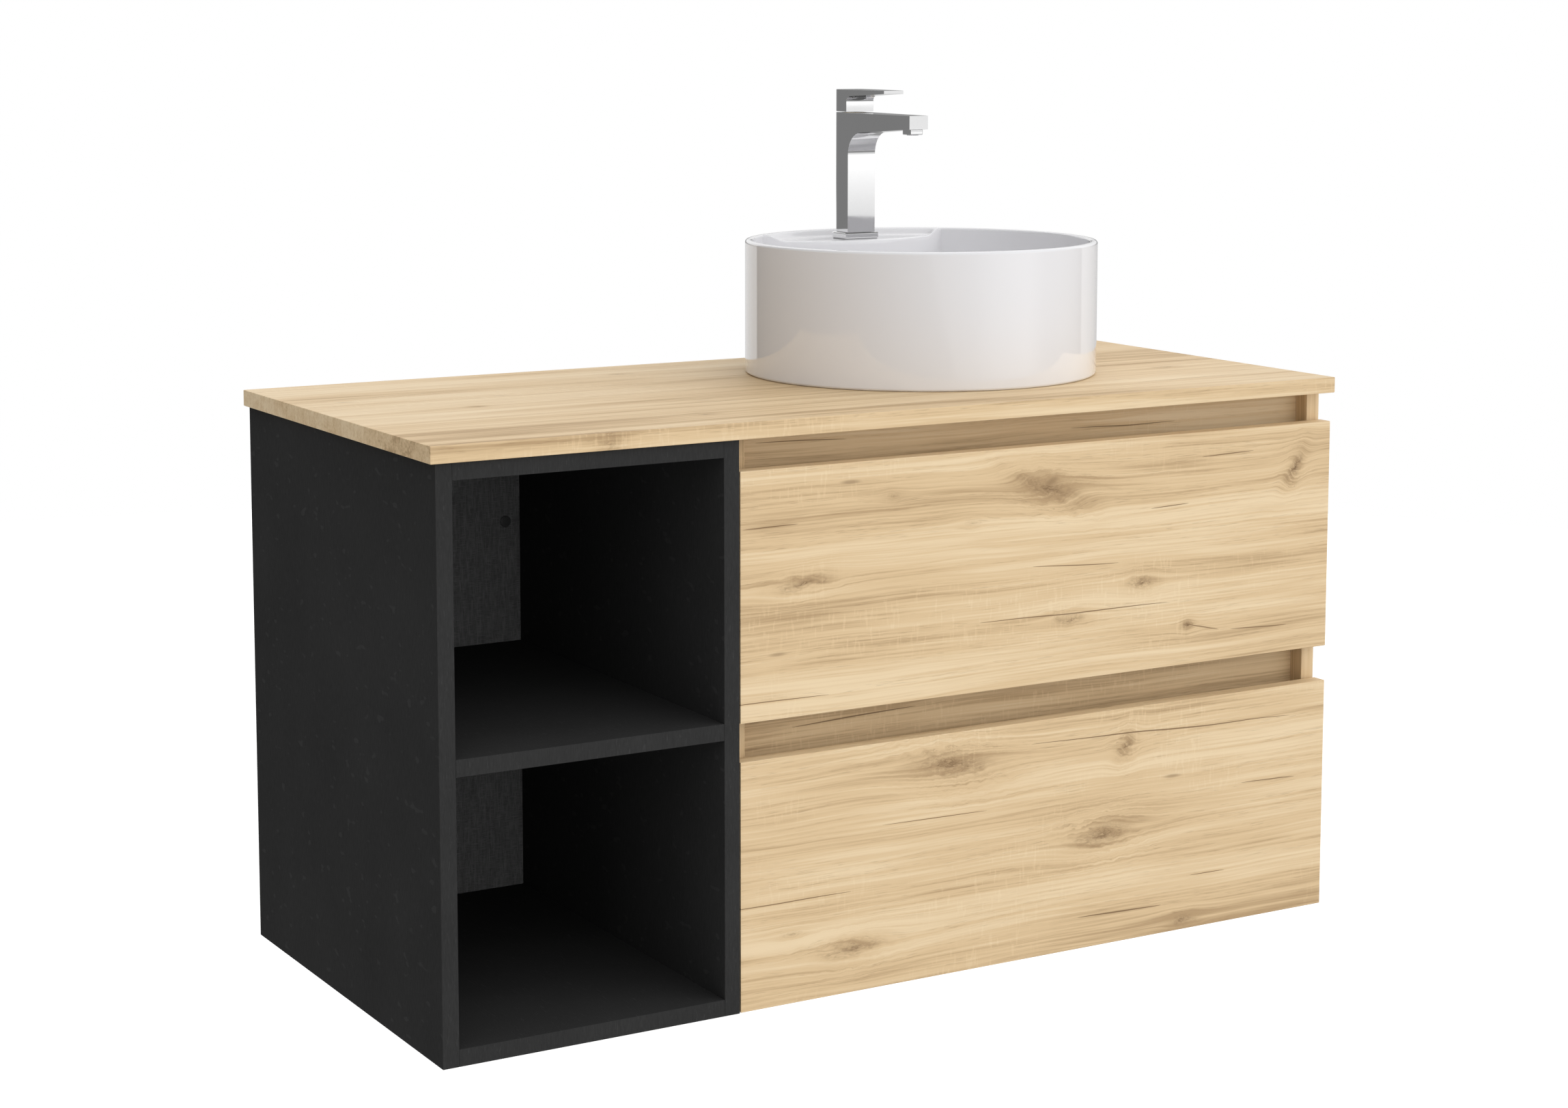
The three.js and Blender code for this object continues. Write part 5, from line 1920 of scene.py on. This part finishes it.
@dataclass
class Studio:
    """A pale floor, soft white light and the camera."""

    camera_at: tuple[float, float, float] = (-1.51694, -2.79619, 0.43047)
    yaw: float = 0.5287
    pitch: float = 0.1201
    roll: float = 0.0005
    lens: float = 68.307
    shift_y: float = -0.1093
    floor_z: float = -0.8
    floor_radius: float = 4.5
    light_mean: float = 0.78
    light_slope: tuple[float, float, float] = (0.58, -0.49, 0.44)
    darkest: float = 0.1
    dark_side: float = 0.21
    softbox: float = 1.5
    softbox_edge: tuple[float, float, float] = (0.1225, -0.1449, 0.9818)
    softbox_faces: tuple[float, float] = (0.574, -0.819)
    near_floor: Step = (-0.075, -0.03, 0.5, 1.0)
    near_level: Step = (-0.043, -0.036, 1.0, 0.6)
    straight_on: Step = (0.8, 0.97, 0.62, 1.0)
    toward_right: Step = (0.62, 0.85, 1.0, 0.2)
    toward_top: Step = (0.15, 0.5, 1.0, 0.2)
    backdrop_rise: Step = (-0.08, 0.12, 0.85, 1.1)
    backdrop_aside: Step = (0.0, 1.0, 1.0, 0.6)
    backdrop_band: float = 0.6
    band_bottom: Step = (-0.066, -0.052, 0.0, 1.0)
    band_top: Step = (0.05, 0.08, 1.0, 0.0)
    backdrop_sides: tuple[float, float] = (-12.7, 84.5)
    floor_tones: tuple[float, float] = (0.6, 0.62)
    floor_bare: float = 0.2
    floor_brightness: float = 0.95
    floor_mirrored: float = 0.14
    floor_glow: float = 0.15

    def build(self) -> None:
        """Sets up the floor, light and camera."""
        self.floor()
        self.light()
        self.camera()

    def floor(self) -> None:
        """Makes the floor."""
        bm = bmesh.new()
        bm.faces.new([bm.verts.new((x, y, self.floor_z)) for x, y in circle((0, 0), self.floor_radius, 96)])
        mesh = bpy.data.meshes.new("pale_floor")
        bm.to_mesh(mesh)
        bm.free()
        made = bpy.data.objects.new("pale_floor", mesh)
        bpy.context.scene.collection.objects.link(made)
        paint = bpy.data.materials.new("pale floor")
        paint.use_nodes = True
        shader = paint.node_tree.nodes["Principled BSDF"].inputs
        t = Tree(paint.node_tree)
        place = t.node("ShaderNodeTexCoord").outputs["Object"]
        tone = t.ramp(t.noise(place, 2.0, 2.0), 0.0, 1.0, *self.floor_tones)
        path = t.node("ShaderNodeLightPath").outputs
        t.feed(shader["Base Color"], t.blend(path["Is Glossy Ray"], t.grey(tone),
        (self.floor_bare,) * 3 + (1.0,)))
        shader["Roughness"].default_value = 0.9
        shader["Specular IOR Level"].default_value = 0.0
        unseen = t.blend(path["Is Glossy Ray"], (self.floor_glow,) * 3 + (1.0,),
                         (self.floor_mirrored,) * 3 + (1.0,))
        t.feed(shader["Emission Color"], t.blend(path["Is Camera Ray"], unseen, t.grey(tone)))
        shader["Emission Strength"].default_value = self.floor_brightness
        mesh.materials.append(paint)

    def light(self) -> None:
        """Makes the soft light: brightest from the front right and above, dim from the left behind."""
        world = bpy.data.worlds.new("soft studio")
        world.use_nodes = True
        bpy.context.scene.world = world
        t = Tree(world.node_tree)
        background = world.node_tree.nodes["Background"]
        x, y, z = t.split(t.node("ShaderNodeTexCoord").outputs["Generated"])
        sx, sy, sz = self.light_slope
        value = t.total(self.light_mean, t.math("MULTIPLY", x, sx), t.math("MULTIPLY", y, sy),
                        t.math("MULTIPLY", z, sz))
        value = t.math("MAXIMUM", value, self.darkest)
        path = t.node("ShaderNodeLightPath").outputs
        colour = t.blend(path["Is Glossy Ray"], t.grey(value), t.grey(self.panels(t, x, y, z)))
        t.feed(background.inputs["Color"], t.blend(path["Is Camera Ray"], colour, (1.0, 1.0, 1.0, 1.0)))
        background.inputs["Strength"].default_value = 1.0

    def panels(self, t: Tree, x: Socket, y: Socket, z: Socket) -> Socket:
        """What polished things mirror: a dark side, a large softbox and the backdrop behind the object.

        Args:
            t: the world's tree.
            x: the direction's X.
            y: its Y.
            z: its Z.

        Returns:
            The brightness.
        """
        ex, ey, ez = self.softbox_edge
        above = t.total(t.math("MULTIPLY", x, ex), t.math("MULTIPLY", y, ey), t.math("MULTIPLY", z, ez))
        fade = t.math("MULTIPLY", t.ramp(z, *self.near_floor), t.ramp(z, *self.near_level))
        fx, fy = self.softbox_faces
        facing = t.total(t.math("MULTIPLY", x, fx), t.math("MULTIPLY", y, fy))
        shape = t.math("MULTIPLY", t.ramp(facing, *self.straight_on), t.ramp(x, *self.toward_right))
        shape = t.math("MULTIPLY", shape, t.ramp(z, *self.toward_top))
        softbox = t.math("MULTIPLY", t.math("MULTIPLY", fade, shape), self.softbox)
        share = t.ramp(above, -0.004, 0.004)
        room = t.total(t.math("MULTIPLY", softbox, share),
                       t.math("MULTIPLY", t.math("SUBTRACT", 1.0, share), self.dark_side))
        left, right = (math.radians(angle) for angle in self.backdrop_sides)
        past_left = t.total(t.math("MULTIPLY", x, math.cos(left)), t.math("MULTIPLY", y, -math.sin(left)))
        before_right = t.total(t.math("MULTIPLY", y, math.sin(right)),
                               t.math("MULTIPLY", x, -math.cos(right)))
        behind = t.math("MULTIPLY", t.ramp(past_left, -0.006, 0.006), t.ramp(before_right, -0.01, 0.01))
        aside = t.ramp(x, *self.backdrop_aside)
        band = t.math("MULTIPLY", t.ramp(z, *self.band_bottom), t.ramp(z, *self.band_top))
        dimmed = t.math("SUBTRACT", 1.0, t.math("MULTIPLY", band, self.backdrop_band))
        backdrop = t.math("MULTIPLY", t.math("MULTIPLY", t.ramp(z, *self.backdrop_rise), aside), dimmed)
        return t.total(t.math("MULTIPLY", backdrop, behind),
                       t.math("MULTIPLY", t.math("SUBTRACT", 1.0, behind), room))

    def camera(self) -> None:
        """Makes the camera."""
        data = bpy.data.cameras.new("view")
        data.lens = self.lens
        data.sensor_width = 36.0
        data.shift_y = self.shift_y
        data.clip_end = 100.0
        made = bpy.data.objects.new("view", data)
        made.location = self.camera_at
        look = Euler((0, 0, -self.yaw)).to_matrix() @ Euler((math.pi / 2 - self.pitch, 0, 0)).to_matrix()
        made.rotation_euler = (look @ Euler((0, 0, self.roll)).to_matrix()).to_euler()
        bpy.context.scene.collection.objects.link(made)
        bpy.context.scene.camera = made


def main() -> None:
    """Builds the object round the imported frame, in order."""
    logging.basicConfig(level=logging.INFO, format="%(name)s: %(message)s")
    bench = Bench(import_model())
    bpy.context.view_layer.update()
    bpy.context.scene.view_settings.view_transform = "Standard"
    Studio().build()
    Worktop(bench).build()
    ShelfUnit(bench).build()
    DrawerCabinet(bench).build()
    Drawer(bench, "upper", OAK_UPPER, notch=(99.5 * MM, 229.5 * MM, -292 * MM)).build()
    Drawer(bench, "lower", OAK_LOWER).build()
    for level in ("upper", "lower"):
        Runners(bench, level).build()
    Hanging(bench).build()
    VesselBasin(bench).build()
    Waste(bench).build()
    BottleTrap(bench).build()
    Mixer(bench).build()
    log.info("%d pieces", bench.count)


if __name__ == "__main__":
    main()
